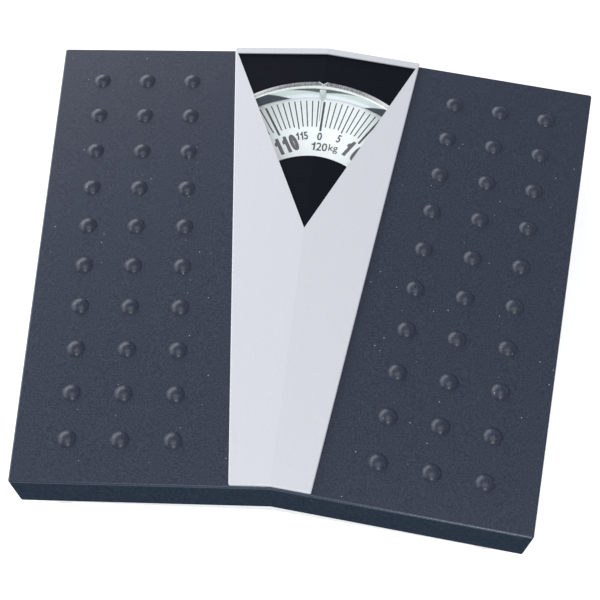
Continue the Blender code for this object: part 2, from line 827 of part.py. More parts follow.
def make_lens(material):
    """Clear window plate with a wall below its rear arc."""
    view = window_outline(LENS_LAP, LENS_LAP, LENS_LAP, steps=32)
    lens = plate("dial_lens", [view], LENS_LOW, LENS_TOP, material)
    centre = (0, DIAL_Y)
    outer = WINDOW_RADIUS - SEAT_GAP
    inner = outer - LENS_WALL_THICKNESS
    start = arc_meets_side(centre, outer, -LENS_WALL_THICKNESS)
    end = math.pi - start
    wall_outline = arc(centre, outer, start, end, 32) + arc(centre, inner, end, start, 32)
    wall = plate(
        "lens_wall",
        [wall_outline],
        LENS_LOW - LENS_WALL_DEPTH,
        LENS_LOW + LENS_THICKNESS / 2,
        as_cutter=True,
    )
    return boolean(lens, wall, "UNION")


def make_index(material):
    """The index: a block on the lens wall, drawn to a point towards the dial's centre, and a fine line."""
    rear = DIAL_Y + WINDOW_RADIUS - SEAT_GAP * 2 - LENS_WALL_THICKNESS
    high = LENS_LOW - SEAT_GAP
    shoulder = rear - INDEX_SHOULDER
    point = rear - INDEX_LENGTH
    outline = [
        (-INDEX_HALF_WIDTH, rear),
        (-INDEX_HALF_WIDTH, shoulder),
        (-INDEX_LINE_HALF, point),
        (INDEX_LINE_HALF, point),
        (INDEX_HALF_WIDTH, shoulder),
        (INDEX_HALF_WIDTH, rear),
    ]
    index = plate("dial_index", [outline], high - INDEX_DEPTH, high, material)
    line = cutter(
        "index_line",
        box_mesh(
            "index_line",
            (-INDEX_LINE_HALF, point - INDEX_LINE_LENGTH, high - INDEX_LINE_DEPTH),
            (INDEX_LINE_HALF, shoulder, high),
        ),
    )
    return boolean(index, line, "UNION")


def hold_x():
    return side_x(HOLD_Y) - HOLD_FROM_SIDE


def hold_tabs(upper):
    """Upright tabs that the platform's two holding springs hook on, on the cover or on the base."""
    reach = HOLD_CURLS * HOLD_PITCH / 2 + HOLD_WIRE_RADIUS - HOLD_PITCH / 4 + SEAT_GAP
    tabs = []
    for side in (1, -1):
        x = side * hold_x()
        if upper:
            low = HOLD_CENTRE_LEVEL + reach
            high = roof(x, -COVER_WALL + HOLD_TAB_LAP)
        else:
            low = FLOOR_TOP - HOLD_TAB_LAP
            high = HOLD_CENTRE_LEVEL - reach
        tabs.append(
            box_mesh(
                "tab",
                (x - HOLD_TAB_WALL / 2, HOLD_Y - HOLD_TAB_HALF_WIDTH, low),
                (x + HOLD_TAB_WALL / 2, HOLD_Y + HOLD_TAB_HALF_WIDTH, high),
            )
        )
    return tabs


def make_hold_springs(material):
    low = HOLD_CENTRE_LEVEL - HOLD_CURLS * HOLD_PITCH / 2 - HOLD_WIRE_RADIUS
    for name, side in (("right", 1), ("left", -1)):
        coil(
            f"hold_down_spring_{name}",
            (side * hold_x(), HOLD_Y, 0),
            (0, 0, 0),
            low,
            HOLD_MEAN_RADIUS,
            HOLD_WIRE_RADIUS,
            HOLD_CURLS,
            HOLD_PITCH,
            material,
        )


def base_inset():
    return COVER_WALL + BASE_CLEARANCE


def bead_mesh(name, start, end, half_width, height, level_at):
    """A long low ridge with round ends, half a flattened rod."""
    start, end = Vector(start), Vector(end)
    along = end - start
    bm = bmesh.new()
    bmesh.ops.create_uvsphere(bm, u_segments=12, v_segments=6, radius=FULL_SHARE)
    stretch = along.length / 2 / half_width
    for vert in bm.verts:
        if abs(vert.co.x) > MIDDLE_SHARE:
            vert.co.x += math.copysign(stretch, vert.co.x)
    turn = Matrix.Rotation(math.atan2(along.y, along.x), 4, "Z")
    middle = (start + end) / 2
    scale = Matrix.Diagonal((half_width, half_width, height, 1))
    move = Matrix.Translation((middle.x, middle.y, level_at))
    bmesh.ops.transform(bm, matrix=move @ turn @ scale, verts=bm.verts)
    return mesh_of(bm, name)


def bead_lines():
    """Middle lines of the ribs pressed into the base's floor."""
    x = hold_x() - BEAD_BESIDE_HOLD
    for side in (1, -1):
        yield (side * x, HOLD_Y - BEAD_SIDE_HALF_LENGTH), (side * x, HOLD_Y + BEAD_SIDE_HALF_LENGTH)
    front = FRONT_Y + BEAD_FROM_FRONT
    yield (-BEAD_CROSS_HALF_LENGTH, front), (BEAD_CROSS_HALF_LENGTH, front)


def make_base(material):
    outline = rounded(platform_half(base_inset()), CORNER_RADIUS, skip=(0, 3))
    base = pressed(
        "base_pan",
        outline,
        level(FLOOR_LOW),
        -BASE_HEIGHT,
        BASE_WALL,
        material,
        bend=BASE_BEND_RADIUS,
    )
    ridges = [
        bead_mesh("bead", a, b, BEAD_HALF_WIDTH + BASE_WALL, BEAD_HEIGHT + BASE_WALL, FLOOR_LOW)
        for a, b in bead_lines()
    ]
    grooves = [
        bead_mesh("bead", a, b, BEAD_HALF_WIDTH, BEAD_HEIGHT, FLOOR_LOW) for a, b in bead_lines()
    ]
    boolean(base, joined("base_tabs", hold_tabs(False)), "UNION")
    trimmed = cutter("bead_ridges", joined("bead_ridges", ridges, as_cutter=False))
    below = cutter(
        "below_floor",
        box_mesh(
            "below_floor",
            (-REAR_HALF_WIDTH, FRONT_Y - CORNER_DROP, -CUT_OVERRUN),
            (REAR_HALF_WIDTH, REAR_Y, FLOOR_LOW + BASE_WALL / 2),
        ),
    )
    boolean(trimmed, below, "DIFFERENCE")
    boolean(base, trimmed, "UNION")
    boolean(base, joined("bead_grooves", grooves), "DIFFERENCE")
    holes = [
        upright_rod(
            "foot hole",
            FOOT_STUD_RADIUS + SEAT_GAP,
            x,
            y,
            FLOOR_LOW - CUT_OVERRUN,
            FLOOR_TOP + CUT_OVERRUN,
        )
        for _, x, y in foot_places()
    ]
    holes.append(
        box_mesh(
            "wheel slot",
            (-WHEEL_RADIUS, SPRING_Y, wheel_low() - WHEEL_SLOT_MARGIN),
            (WHEEL_RADIUS, REAR_Y, wheel_low() + WHEEL_THICKNESS + WHEEL_SLOT_MARGIN),
        )
    )
    boolean(base, joined("base_holes", holes), "DIFFERENCE")
    return smooth(base)


def wheel_low():
    return FLOOR_TOP + RUNNING_GAP


def foot_places():
    front, rear = FRONT_Y + FOOT_FROM_FRONT, REAR_Y - FOOT_FROM_REAR
    for name, side in (("right", 1), ("left", -1)):
        yield f"front_{name}", side * (side_x(front) - FOOT_FROM_SIDE), front
        yield f"rear_{name}", side * (side_x(rear) - FOOT_FROM_SIDE), rear


def make_feet(material):
    head_low = FLOOR_SEAT
    head_high = head_low + FOOT_HEAD_HEIGHT
    profile = [
        (0, head_high),
        (FOOT_HEAD_RADIUS - FOOT_HEAD_HEIGHT / 2, head_high),
        (FOOT_HEAD_RADIUS, head_low),
        (FOOT_STUD_RADIUS, head_low),
        (FOOT_STUD_RADIUS, FOOT_HEIGHT),
        (FOOT_TOP_RADIUS, FOOT_HEIGHT),
        (FOOT_RADIUS, FOOT_HEIGHT / 3),
        (FOOT_RADIUS, FOOT_HEAD_HEIGHT / 2),
        (FOOT_RADIUS - FOOT_HEAD_HEIGHT / 2, 0),
        (0, 0),
    ]
    for name, x, y in foot_places():
        foot = turned(f"foot_{name}", profile, material, sides=20)
        foot.location = (x, y, 0)
        smooth(foot)


def cheek_bracket(name, web_level, tip_level, spread, half_width, wall, material, notch=0.0):
    """A strip bent into a U across X: a web and two cheeks, each with a V notch in its free end."""
    rise = 1 if tip_level > web_level else -1
    bm = bmesh.new()
    feet = {}
    for sx in (-1, 1):
        for sy in (-1, 1):
            feet[sx, sy] = bm.verts.new((sx * spread, sy * half_width, web_level))
    bm.faces.new([feet[-1, -1], feet[1, -1], feet[1, 1], feet[-1, 1]])
    for sx in (-1, 1):
        rim = [(half_width, tip_level)]
        if notch:
            rim += [(notch, tip_level), (0, tip_level - rise * notch), (-notch, tip_level)]
        rim.append((-half_width, tip_level))
        cheek = [feet[sx, -1], feet[sx, 1]]
        cheek += [bm.verts.new((sx * spread, y, z)) for y, z in rim]
        bm.faces.new(cheek)
    bmesh.ops.recalc_face_normals(bm, faces=bm.faces)
    mesh = bpy.data.meshes.new(name)
    bm.to_mesh(mesh)
    bm.free()
    bracket = place(name, mesh, material, PARTS)
    thickness = bracket.modifiers.new("sheet thickness", "SOLIDIFY")
    thickness.thickness = wall
    thickness.offset = 0
    thickness.use_even_offset = True
    return bracket


def front_fulcrum():
    return side_x(FRONT_FULCRUM_Y) - FRONT_FULCRUM_FROM_SIDE, FRONT_FULCRUM_Y


def rear_fulcrum():
    return side_x(REAR_FULCRUM_Y) - REAR_FULCRUM_FROM_SIDE, REAR_FULCRUM_Y


def make_fulcrums(material):
    for end, (x, y) in (("front", front_fulcrum()), ("rear", rear_fulcrum())):
        for name, side in (("right", 1), ("left", -1)):
            apex = PIN_LEVEL - NOTCH_SEAT
            bracket = cheek_bracket(
                f"fulcrum_bracket_{end}_{name}",
                FLOOR_SEAT + BRACKET_WALL / 2,
                apex + NOTCH_DEPTH,
                CHEEK_HALF_SPREAD,
                CHEEK_HALF_WIDTH,
                BRACKET_WALL,
                material,
                NOTCH_DEPTH,
            )
            bracket.location = (side * x, y, 0)


def load_places():
    """Name, side, place and height of each load pin, on which a seat of the platform rests."""
    rise = LOAD_ARM * math.sin(LEVER_TILT)
    for end, (x, y), way in (("front", front_fulcrum(), 1), ("rear", rear_fulcrum(), -1)):
        for name, side in (("right", 1), ("left", -1)):
            run = LOAD_ARM * math.cos(LEVER_TILT)
            yield f"{end}_{name}", side * x, y + way * run, PIN_LEVEL + rise


def make_seats(material):
    for name, x, y, pin_level in load_places():
        outer = abs(x) + CHEEK_HALF_SPREAD + BRACKET_WALL / 2
        seat = cheek_bracket(
            f"platform_seat_{name}",
            roof(outer, -COVER_WALL - SEAT_GAP - BRACKET_WALL / 2),
            pin_level + NOTCH_SEAT - NOTCH_DEPTH,
            CHEEK_HALF_SPREAD,
            CHEEK_HALF_WIDTH,
            BRACKET_WALL,
            material,
            NOTCH_DEPTH,
        )
        seat.location = (x, y, 0)


def pin(name, x, y, material, parent):
    """A hardened pin across a lever, whose ends bear in a bracket or under a seat."""
    obj = place(
        name,
        rod_mesh(name, PIN_RADIUS, (-PIN_HALF_LENGTH, 0, 0), (PIN_HALF_LENGTH, 0, 0), PIN_SIDES),
        material,
        PARTS,
    )
    obj.parent = parent
    obj.location = (x, y, 0)
    return smooth(obj)


def pin_holes(name, places, parent):
    """Cutters for the holes that a lever's pins pass through."""
    half = PAD_HALF_WIDTH + CUT_OVERRUN
    rods = [
        rod_mesh("hole", PIN_RADIUS + SEAT_GAP, (x - half, y, 0), (x + half, y, 0), PIN_SIDES)
        for x, y in places
    ]
    holes = joined(name, rods)
    holes.parent = parent
    return holes


def make_long_lever(material, pin_material):
    """The V-shaped lever from both front fulcrums to the tongue that presses on the calibrating plate."""
    fulcrum_x, fulcrum_y = front_fulcrum()
    axis = bpy.data.objects.new("long_lever_axis", None)
    PARTS.objects.link(axis)
    axis.location = (0, fulcrum_y, PIN_LEVEL)
    axis.rotation_euler = (LEVER_TILT, 0, 0)
    inner = fulcrum_x - PAD_HALF_WIDTH
    outer = fulcrum_x + PAD_HALF_WIDTH
    yoke_front = LONG_REACH - YOKE_FRONT_BEFORE_TIP
    yoke_rear = LONG_REACH - YOKE_REAR_BEFORE_TIP
    outline = [
        (0, yoke_front),
        (YOKE_FRONT_HALF, yoke_front),
        (inner, PAD_AHEAD),
        (inner, -PAD_BEHIND),
        (outer, -PAD_BEHIND),
        (outer, PAD_AHEAD + PAD_HALF_WIDTH / 3),
        (YOKE_REAR_HALF, yoke_rear),
        (NOSE_START_HALF, LONG_REACH - NOSE_LENGTH),
        (TONGUE_HALF_WIDTH, LONG_REACH - TONGUE_LENGTH),
        (TONGUE_HALF_WIDTH, LONG_REACH + TONGUE_BEYOND),
        (0, LONG_REACH + TONGUE_BEYOND),
    ]
    lever = pressed(
        "long_lever",
        outline,
        level(LEVER_FLANGE / 2),
        LEVER_FLANGE,
        LEVER_WALL,
        material,
        plain=(8, 9),
    )
    lever.parent = axis
    places = [(side * fulcrum_x, y) for side in (1, -1) for y in (0, LOAD_ARM)]
    boolean(lever, pin_holes("long_lever_holes", places, axis), "DIFFERENCE")
    for name, side in (("right", 1), ("left", -1)):
        pin(f"fulcrum_pin_front_{name}", side * fulcrum_x, 0, pin_material, axis)
        pin(f"load_pin_front_{name}", side * fulcrum_x, LOAD_ARM, pin_material, axis)


def long_arm_middle(y):
    """Where the long lever's arm lies at this place along Y, seen from above."""
    fulcrum_x, fulcrum_y = front_fulcrum()
    along = y - fulcrum_y
    inner_end = fulcrum_x - PAD_HALF_WIDTH
    outer_end = fulcrum_x + PAD_HALF_WIDTH
    yoke_front = LONG_REACH - YOKE_FRONT_BEFORE_TIP
    yoke_rear = LONG_REACH - YOKE_REAR_BEFORE_TIP
    inner_share = (yoke_front - along) / (yoke_front - PAD_AHEAD)
    outer_start = PAD_AHEAD + PAD_HALF_WIDTH / 3
    outer_share = (yoke_rear - along) / (yoke_rear - outer_start)
    inner = YOKE_FRONT_HALF + (inner_end - YOKE_FRONT_HALF) * inner_share
    outer = YOKE_REAR_HALF + (outer_end - YOKE_REAR_HALF) * outer_share
    return (inner + outer) / 2


def make_short_lever(name, side, material, pin_material):
    """A lever from a rear fulcrum to the long lever's arm, on which its tongue rests on a ridge."""
    fulcrum_x, fulcrum_y = rear_fulcrum()
    axis = bpy.data.objects.new(f"short_lever_axis_{name}", None)
    PARTS.objects.link(axis)
    axis.location = (side * fulcrum_x, fulcrum_y, PIN_LEVEL)
    axis.rotation_euler = (-LEVER_TILT, 0, 0)
    start = Vector((0, -SHORT_PAD_AHEAD))
    tip = Vector((long_arm_middle(COUPLING_Y) - fulcrum_x, -SHORT_REACH))
    along = (tip - start).normalized()
    across = Vector((-along.y, along.x)) * SHORT_TONGUE_HALF
    neck = tip - along * SHORT_TONGUE_LENGTH
    end = tip + along * SHORT_TONGUE_BEYOND
    outline = [
        (PAD_HALF_WIDTH, PAD_BEHIND),
        (-PAD_HALF_WIDTH, PAD_BEHIND),
        (-PAD_HALF_WIDTH, -SHORT_PAD_AHEAD + PAD_HALF_WIDTH / 3),
        tuple(neck - across),
        tuple(end - across),
        tuple(end + across),
        tuple(neck + across),
        (PAD_HALF_WIDTH, -SHORT_PAD_AHEAD - PAD_HALF_WIDTH / 3),
    ]
    outline = [(side * x, y) for x, y in outline]
    top = LEVER_FLANGE / 2 + SHORT_RISE
    lever = pressed(
        f"short_lever_{name}",
        outline,
        level(top),
        LEVER_FLANGE + SHORT_RISE,
        LEVER_WALL,
        material,
        plain=(3, 4, 5),
        mirrored=False,
    )
    lever.parent = axis
    bar_level = top - LEVER_WALL
    bar_ends = [tip - across * RIDGE_BAR_SHARE, tip + across * RIDGE_BAR_SHARE]
    bar = cutter(
        f"short_lever_ridge_{name}",
        rod_mesh(
            "ridge",
            RIDGE_BAR_RADIUS,
            (side * bar_ends[0].x, bar_ends[0].y, bar_level),
            (side * bar_ends[1].x, bar_ends[1].y, bar_level),
            PIN_SIDES,
        ),
    )
    bar.parent = axis
    boolean(lever, bar, "UNION")
    holes = pin_holes(f"short_lever_holes_{name}", [(0, 0), (0, -LOAD_ARM)], axis)
    boolean(lever, holes, "DIFFERENCE")
    pin(f"fulcrum_pin_rear_{name}", 0, 0, pin_material, axis)
    pin(f"load_pin_rear_{name}", 0, -LOAD_ARM, pin_material, axis)


def make_calibrating_plate(material):
    """The plate that hangs on the main spring: a lip for the lever's tongue and a lug over the crank."""
    lip_top = (
        PIN_LEVEL + LONG_REACH * math.sin(LEVER_TILT) + LEVER_FLANGE / 2 - LEVER_WALL - SEAT_GAP
    )
    lug_front = CRANK_Y + LUG_FRONT_FROM_CRANK
    lug_rear = CRANK_Y + LUG_REAR_FROM_CRANK
    plate_rear = REAR_Y - PLATE_FROM_REAR
    outline = [
        (-PLATE_LIP_HALF, LIP_Y - PLATE_THICKNESS / 2),
        (PLATE_LIP_HALF, LIP_Y - PLATE_THICKNESS / 2),
        (PLATE_HALF_WIDTH, LIP_Y + PLATE_HALF_WIDTH / 2),
        (PLATE_HALF_WIDTH, lug_front),
        (LUG_OUTER_X, lug_front),
        (LUG_OUTER_X, lug_rear),
        (PLATE_HALF_WIDTH, lug_rear + PLATE_HALF_WIDTH / 2),
        (PLATE_HALF_WIDTH, plate_rear - PLATE_HALF_WIDTH / 3),
        (PLATE_HALF_WIDTH * 2 / 3, plate_rear),
        (-PLATE_HALF_WIDTH * 2 / 3, plate_rear),
        (-PLATE_HALF_WIDTH, plate_rear - PLATE_HALF_WIDTH / 3),
        (-PLATE_HALF_WIDTH, LIP_Y + PLATE_HALF_WIDTH / 2),
    ]
    body = plate("calibrating_plate", [outline], PLATE_LOW, PLATE_TOP, material)
    lip = cutter(
        "plate_lip",
        box_mesh(
            "lip",
            (-PLATE_LIP_HALF, LIP_Y - PLATE_THICKNESS / 2, PLATE_LOW),
            (PLATE_LIP_HALF, LIP_Y + PLATE_THICKNESS / 2, lip_top),
        ),
    )
    boolean(body, lip, "UNION")
    plug = cutter(
        "plate_plug",
        upright_rod(
            "plug",
            PLUG_RADIUS,
            0,
            SPRING_Y,
            PLATE_TOP - PLATE_THICKNESS / 2,
            PLATE_TOP + SPRING_PLUG_HEIGHT,
            24,
        ),
    )
    boolean(body, plug, "UNION")
    hole = cutter(
        "plate_hole",
        upright_rod(
            "hole",
            SCREW_RADIUS + RUNNING_GAP,
            0,
            SPRING_Y,
            PLATE_LOW - CUT_OVERRUN,
            PLATE_TOP + SPRING_PLUG_HEIGHT + CUT_OVERRUN,
        ),
    )
    boolean(body, hole, "DIFFERENCE")
    return body


def make_main_spring(material):
    return coil(
        "main_spring",
        (0, SPRING_Y, 0),
        (0, 0, 0),
        PLATE_TOP + SEAT_GAP,
        SPRING_MEAN_RADIUS,
        SPRING_WIRE_RADIUS,
        SPRING_CURLS,
        SPRING_PITCH,
        material,
    )


def make_hanger(material):
    """Threaded plug that the main spring's top winds on."""
    high = HANGER_LOW + HANGER_FLANGE_THICKNESS
    bore = SCREW_RADIUS + SEAT_GAP
    profile = [
        (bore, high),
        (HANGER_FLANGE_RADIUS, high),
        (HANGER_FLANGE_RADIUS, HANGER_LOW),
        (PLUG_RADIUS, HANGER_LOW),
        (PLUG_RADIUS, HANGER_LOW - SPRING_PLUG_HEIGHT),
        (bore, HANGER_LOW - SPRING_PLUG_HEIGHT),
    ]
    hanger = turned("spring_hanger", profile, material, sides=24, closed_loop=True)
    hanger.location = (0, SPRING_Y, 0)
    return smooth(hanger)


def folded_bridge(name, span, half_width, height, foot, wall, centre_y, material):
    """A strip bent into a bridge across X with a foot turned out at each end."""
    foot_level = FLOOR_SEAT + wall / 2
    top_level = height + wall / 2
    line = [
        (-span - foot, foot_level),
        (-span, foot_level),
        (-span, top_level),
        (span, top_level),
        (span, foot_level),
        (span + foot, foot_level),
    ]
    bm = bmesh.new()
    rows = [[bm.verts.new((x, centre_y + s * half_width, z)) for x, z in line] for s in (-1, 1)]
    for i in range(len(line) - 1):
        bm.faces.new([rows[0][i], rows[0][i + 1], rows[1][i + 1], rows[1][i]])
    bmesh.ops.recalc_face_normals(bm, faces=bm.faces)
    mesh = bpy.data.meshes.new(name)
    bm.to_mesh(mesh)
    bm.free()
    bridge = place(name, mesh, material, PARTS)
    thickness = bridge.modifiers.new("sheet thickness", "SOLIDIFY")
    thickness.thickness = wall
    thickness.offset = 0
    thickness.use_even_offset = True
    return bridge


def make_spring_bridge(material):
    bridge = folded_bridge(
        "spring_bridge",
        BRIDGE_HALF_SPAN,
        BRIDGE_HALF_WIDTH,
        BRIDGE_LEVEL,
        BRIDGE_FOOT,
        BRIDGE_WALL,
        SPRING_Y,
        material,
    )
    hole = cutter(
        "bridge_hole",
        upright_rod(
            "hole",
            SCREW_RADIUS + SEAT_GAP,
            0,
            SPRING_Y,
            BRIDGE_LEVEL - CUT_OVERRUN,
            BRIDGE_LEVEL + BRIDGE_WALL + CUT_OVERRUN,
        ),
    )
    return boolean(bridge, hole, "DIFFERENCE")


def make_adjuster(material, wheel_material):
    """The zero adjuster: a screw that stands in the base and a thumbwheel on it that shows at the rear."""
    low = FLOOR_SEAT
    chamfer = SCREW_RADIUS / 3
    profile = [
        (0, SCREW_TOP),
        (SCREW_RADIUS - chamfer, SCREW_TOP),
        (SCREW_RADIUS, SCREW_TOP - chamfer),
        (SCREW_RADIUS, low + chamfer),
        (SCREW_RADIUS - chamfer, low),
        (0, low),
    ]
    screw = turned("adjuster_screw", profile, material, sides=16)
    screw.location = (0, SPRING_Y, 0)
    smooth(screw)
    rim = []
    for i in range(WHEEL_RIDGES * 2):
        radius = WHEEL_RADIUS - (WHEEL_RIDGE_DEPTH if i % 2 else 0)
        angle = math.tau * (i + 0.5) / (WHEEL_RIDGES * 2)
        rim.append((radius * math.cos(angle), SPRING_Y + radius * math.sin(angle)))
    bore = circle((0, SPRING_Y), SCREW_RADIUS + SEAT_GAP, 16)
    plate("zero_thumbwheel", [rim, bore], wheel_low(), wheel_low() + WHEEL_THICKNESS, wheel_material)


def crank_point(length, angle):
    """A point on the crank in the Y-Z plane, at this angle above the rear horizontal."""
    return Vector((CRANK_Y + length * math.cos(angle), CRANK_LEVEL + length * math.sin(angle)))


def arm_outline(start, end, start_radius, end_radius):
    """A tapered arm with round ends, as a closed outline in the Y-Z plane."""
    heading = math.atan2(end.y - start.y, end.x - start.x)
    quarter = math.pi / 2
    near = arc(start, start_radius, heading + quarter, heading + 3 * quarter, 8)
    far = arc(end, end_radius, heading - quarter, heading + quarter, 8)
    return near + far


def upright_plate(name, outline, x_low, x_high, material=None, as_cutter=True):
    """A plate across X whose outline lies in the Y-Z plane."""
    obj = plate(name, [outline], x_low, x_high, material, as_cutter=as_cutter)
    # Carries (x, y, z) of the flat plate to (z, x, y)
    obj.data.transform(Matrix(((0, 0, 1, 0), (1, 0, 0, 0), (0, 1, 0, 0), (0, 0, 0, 1))))
    return obj


def make_crank(material, pin_material):
    """The bell crank: a short arm under the calibrating plate's lug and a long one in the rack's slot."""
    pivot = Vector((CRANK_Y, CRANK_LEVEL))
    low, high = CRANK_X - CRANK_WALL / 2, CRANK_X + CRANK_WALL / 2
    input_tip = crank_point(CRANK_INPUT, CRANK_SWING / 2)
    output_tip = crank_point(CRANK_OUTPUT, CRANK_SWING / 2 + math.pi / 2)
    crank = upright_plate(
        "bell_crank",
        arm_outline(pivot, output_tip, CRANK_HUB_RADIUS, CRANK_PIN_RADIUS * 3 / 2),
        low,
        high,
        material,
        as_cutter=False,
    )
    tip_radius = CRANK_TIP_RADIUS
    arm = upright_plate(
        "crank_input_arm", arm_outline(pivot, input_tip, tip_radius, tip_radius), low, high
    )
    boolean(crank, arm, "UNION")
    hub_x = CRANK_HUB_HALF_LENGTH
    hub = cutter(
        "crank_hub",
        rod_mesh("hub", CRANK_HUB_RADIUS, (CRANK_X - hub_x, *pivot), (CRANK_X + hub_x, *pivot), 24),
    )
    boolean(crank, hub, "UNION")
    stub = cutter(
        "crank_stub",
        rod_mesh(
            "stub",
            CRANK_PIN_RADIUS,
            (CRANK_PIN_END_X, *output_tip),
            (CRANK_X, *output_tip),
            PIN_SIDES,
        ),
    )
    boolean(crank, stub, "UNION")
    bore = cutter(
        "crank_bore",
        rod_mesh(
            "bore",
            CRANK_SHAFT_RADIUS + SEAT_GAP / 2,
            (CRANK_X - hub_x - CUT_OVERRUN, *pivot),
            (CRANK_X + hub_x + CUT_OVERRUN, *pivot),
            PIN_SIDES,
        ),
    )
    boolean(crank, bore, "DIFFERENCE")
    shaft_x = CRANK_SHAFT_HALF_LENGTH
    shaft = place(
        "crank_pivot_pin",
        rod_mesh(
            "crank_pivot_pin",
            CRANK_SHAFT_RADIUS,
            (CRANK_X - shaft_x, *pivot),
            (CRANK_X + shaft_x, *pivot),
            PIN_SIDES,
        ),
        pin_material,
        PARTS,
    )
    smooth(shaft)


def make_crank_bracket(material):
    bracket = cheek_bracket(
        "crank_bracket",
        FLOOR_SEAT + BRACKET_WALL / 2,
        CRANK_CHEEK_TOP,
        CRANK_CHEEK_HALF_SPREAD,
        CRANK_CHEEK_HALF_WIDTH,
        BRACKET_WALL,
        material,
    )
    bracket.location = (CRANK_X, CRANK_Y, 0)
    reach = CRANK_CHEEK_HALF_SPREAD + BRACKET_WALL + CUT_OVERRUN
    hole = cutter(
        "crank_bracket_hole",
        rod_mesh(
            "hole",
            CRANK_SHAFT_RADIUS + SEAT_GAP / 2,
            (CRANK_X - reach, CRANK_Y, CRANK_LEVEL),
            (CRANK_X + reach, CRANK_Y, CRANK_LEVEL),
            PIN_SIDES,
        ),
    )
    return boolean(bracket, hole, "DIFFERENCE")


def rack_rest_y():
    """Where the crank's pin stands in the rack's slot at rest."""
    return CRANK_Y - RACK_TRAVEL / 2


def make_rack(material):
    """The rack: teeth along the pinion's side, and an upright tab with the slot for the crank's pin."""
    root = PITCH_RADIUS + TOOTH_ADDENDUM + TOOTH_CLEARANCE
    tip = PITCH_RADIUS - TOOTH_ADDENDUM
    first = DIAL_Y - RACK_TRAVEL - RACK_TOOTH_LEAD
    last = DIAL_Y + RACK_TOOTH_LEAD
    teeth = []
    below = math.floor((first - DIAL_Y) / TOOTH_PITCH)
    above = math.ceil((last - DIAL_Y) / TOOTH_PITCH)
    for i in range(below, above):
        # A gap of the rack faces the pinion's tooth that lies on the line of centres
        middle = DIAL_Y + (i + 0.5) * TOOTH_PITCH
        root_half = TOOTH_ROOT_SHARE * TOOTH_PITCH / 2
        tip_half = TOOTH_TIP_SHARE * TOOTH_PITCH / 2
        teeth += [
            (root, middle - root_half),
            (tip, middle - tip_half),
            (tip, middle + tip_half),
            (root, middle + root_half),
        ]
    front = teeth[0][1] - RACK_NOSE
    back = rack_rest_y() + RACK_TAB_HALF_LENGTH
    outer = root + RACK_BODY_WIDTH
    tab_x = RACK_TAB_X
    shoulder = teeth[-1][1] + RACK_NOSE
    outline = teeth + [
        (root, shoulder),
        (tab_x - RACK_BODY_WIDTH, back - 2 * RACK_TAB_HALF_LENGTH),
        (tab_x - RACK_BODY_WIDTH, back),
        (tab_x, back),
        (tab_x, back - 2 * RACK_TAB_HALF_LENGTH),
        (outer, shoulder),
        (outer, front),
        (root, front),
    ]
    rack = plate("rack", [outline], RACK_LEVEL, RACK_LEVEL + RACK_THICKNESS, material)
    tab_low, tab_high = tab_x - RACK_THICKNESS / 2, tab_x + RACK_THICKNESS / 2
    tab = cutter(
        "rack_tab",
        box_mesh(
            "tab",
            (tab_low, back - 2 * RACK_TAB_HALF_LENGTH, RACK_TAB_LOW),
            (tab_high, back, RACK_TAB_HIGH),
        ),
    )
    boolean(rack, tab, "UNION")
    pin_low = CRANK_LEVEL + CRANK_OUTPUT * math.cos(CRANK_SWING / 2) - CRANK_PIN_RADIUS
    pin_high = CRANK_LEVEL + CRANK_OUTPUT + CRANK_PIN_RADIUS
    slot = cutter(
        "rack_slot",
        box_mesh(
            "slot",
            (tab_low - RACK_BODY_WIDTH / 3, rack_rest_y() - SLOT_HALF_WIDTH, pin_low - SLOT_END_MARGIN),
            (tab_high + CUT_OVERRUN, rack_rest_y() + SLOT_HALF_WIDTH, pin_high + SLOT_END_MARGIN),
        ),
    )
    boolean(rack, slot, "DIFFERENCE")
    return rack


def pinion_outline():
    """The pinion's teeth round the origin, one of them pointing to +X."""
    root = PITCH_RADIUS - TOOTH_ADDENDUM - TOOTH_CLEARANCE
    tip = PITCH_RADIUS + TOOTH_ADDENDUM
    outline = []
    for i in range(PINION_TEETH):
        middle = math.tau * i / PINION_TEETH
        root_half = TOOTH_ROOT_SHARE * TOOTH_PITCH / 2 / root
        tip_half = TOOTH_TIP_SHARE * TOOTH_PITCH / 2 / tip
        corners = ((root, -root_half), (tip, -tip_half), (tip, tip_half), (root, root_half))
        for radius, angle in corners:
            turn = middle + angle
            outline.append((radius * math.cos(turn), DIAL_Y + radius * math.sin(turn)))
    return outline


def make_dial_drive(material):
    """The dial's shaft with its pinion, and the bushing it turns in."""
    low = RACK_LEVEL - PINION_BELOW_RACK
    pinion = plate("dial_pinion", [pinion_outline()], low, low + PINION_HEIGHT, material)
    shaft = cutter(
        "dial_shaft",
        rod_mesh(
            "shaft",
            SHAFT_RADIUS,
            (0, DIAL_Y, DIAL_BRIDGE_LEVEL - SHAFT_FOOT),
            (0, DIAL_Y, DIAL_TOP + SEAT_GAP + DIAL_CLIP_HEIGHT / 2),
            PIN_SIDES,
        ),
    )
    boolean(pinion, shaft, "UNION")
    bridge_top = DIAL_BRIDGE_LEVEL + BRIDGE_WALL
    bore = SHAFT_RADIUS + SEAT_GAP
    neck = BUSHING_RADIUS
    flange_low = DIAL_BRIDGE_LEVEL - SEAT_GAP
    profile = [
        (bore, bridge_top - SEAT_GAP),
        (neck, bridge_top - SEAT_GAP),
        (neck, flange_low),
        (BUSHING_FLANGE_RADIUS, flange_low),
        (BUSHING_FLANGE_RADIUS, flange_low - BUSHING_FLANGE_THICKNESS),
        (neck, flange_low - BUSHING_FLANGE_THICKNESS),
        (neck, bridge_top - BUSHING_LENGTH),
        (bore, bridge_top - BUSHING_LENGTH),
    ]
    bushing = turned("dial_bushing", profile, material, sides=20, closed_loop=True)
    bushing.location = (0, DIAL_Y, 0)
    smooth(bushing)


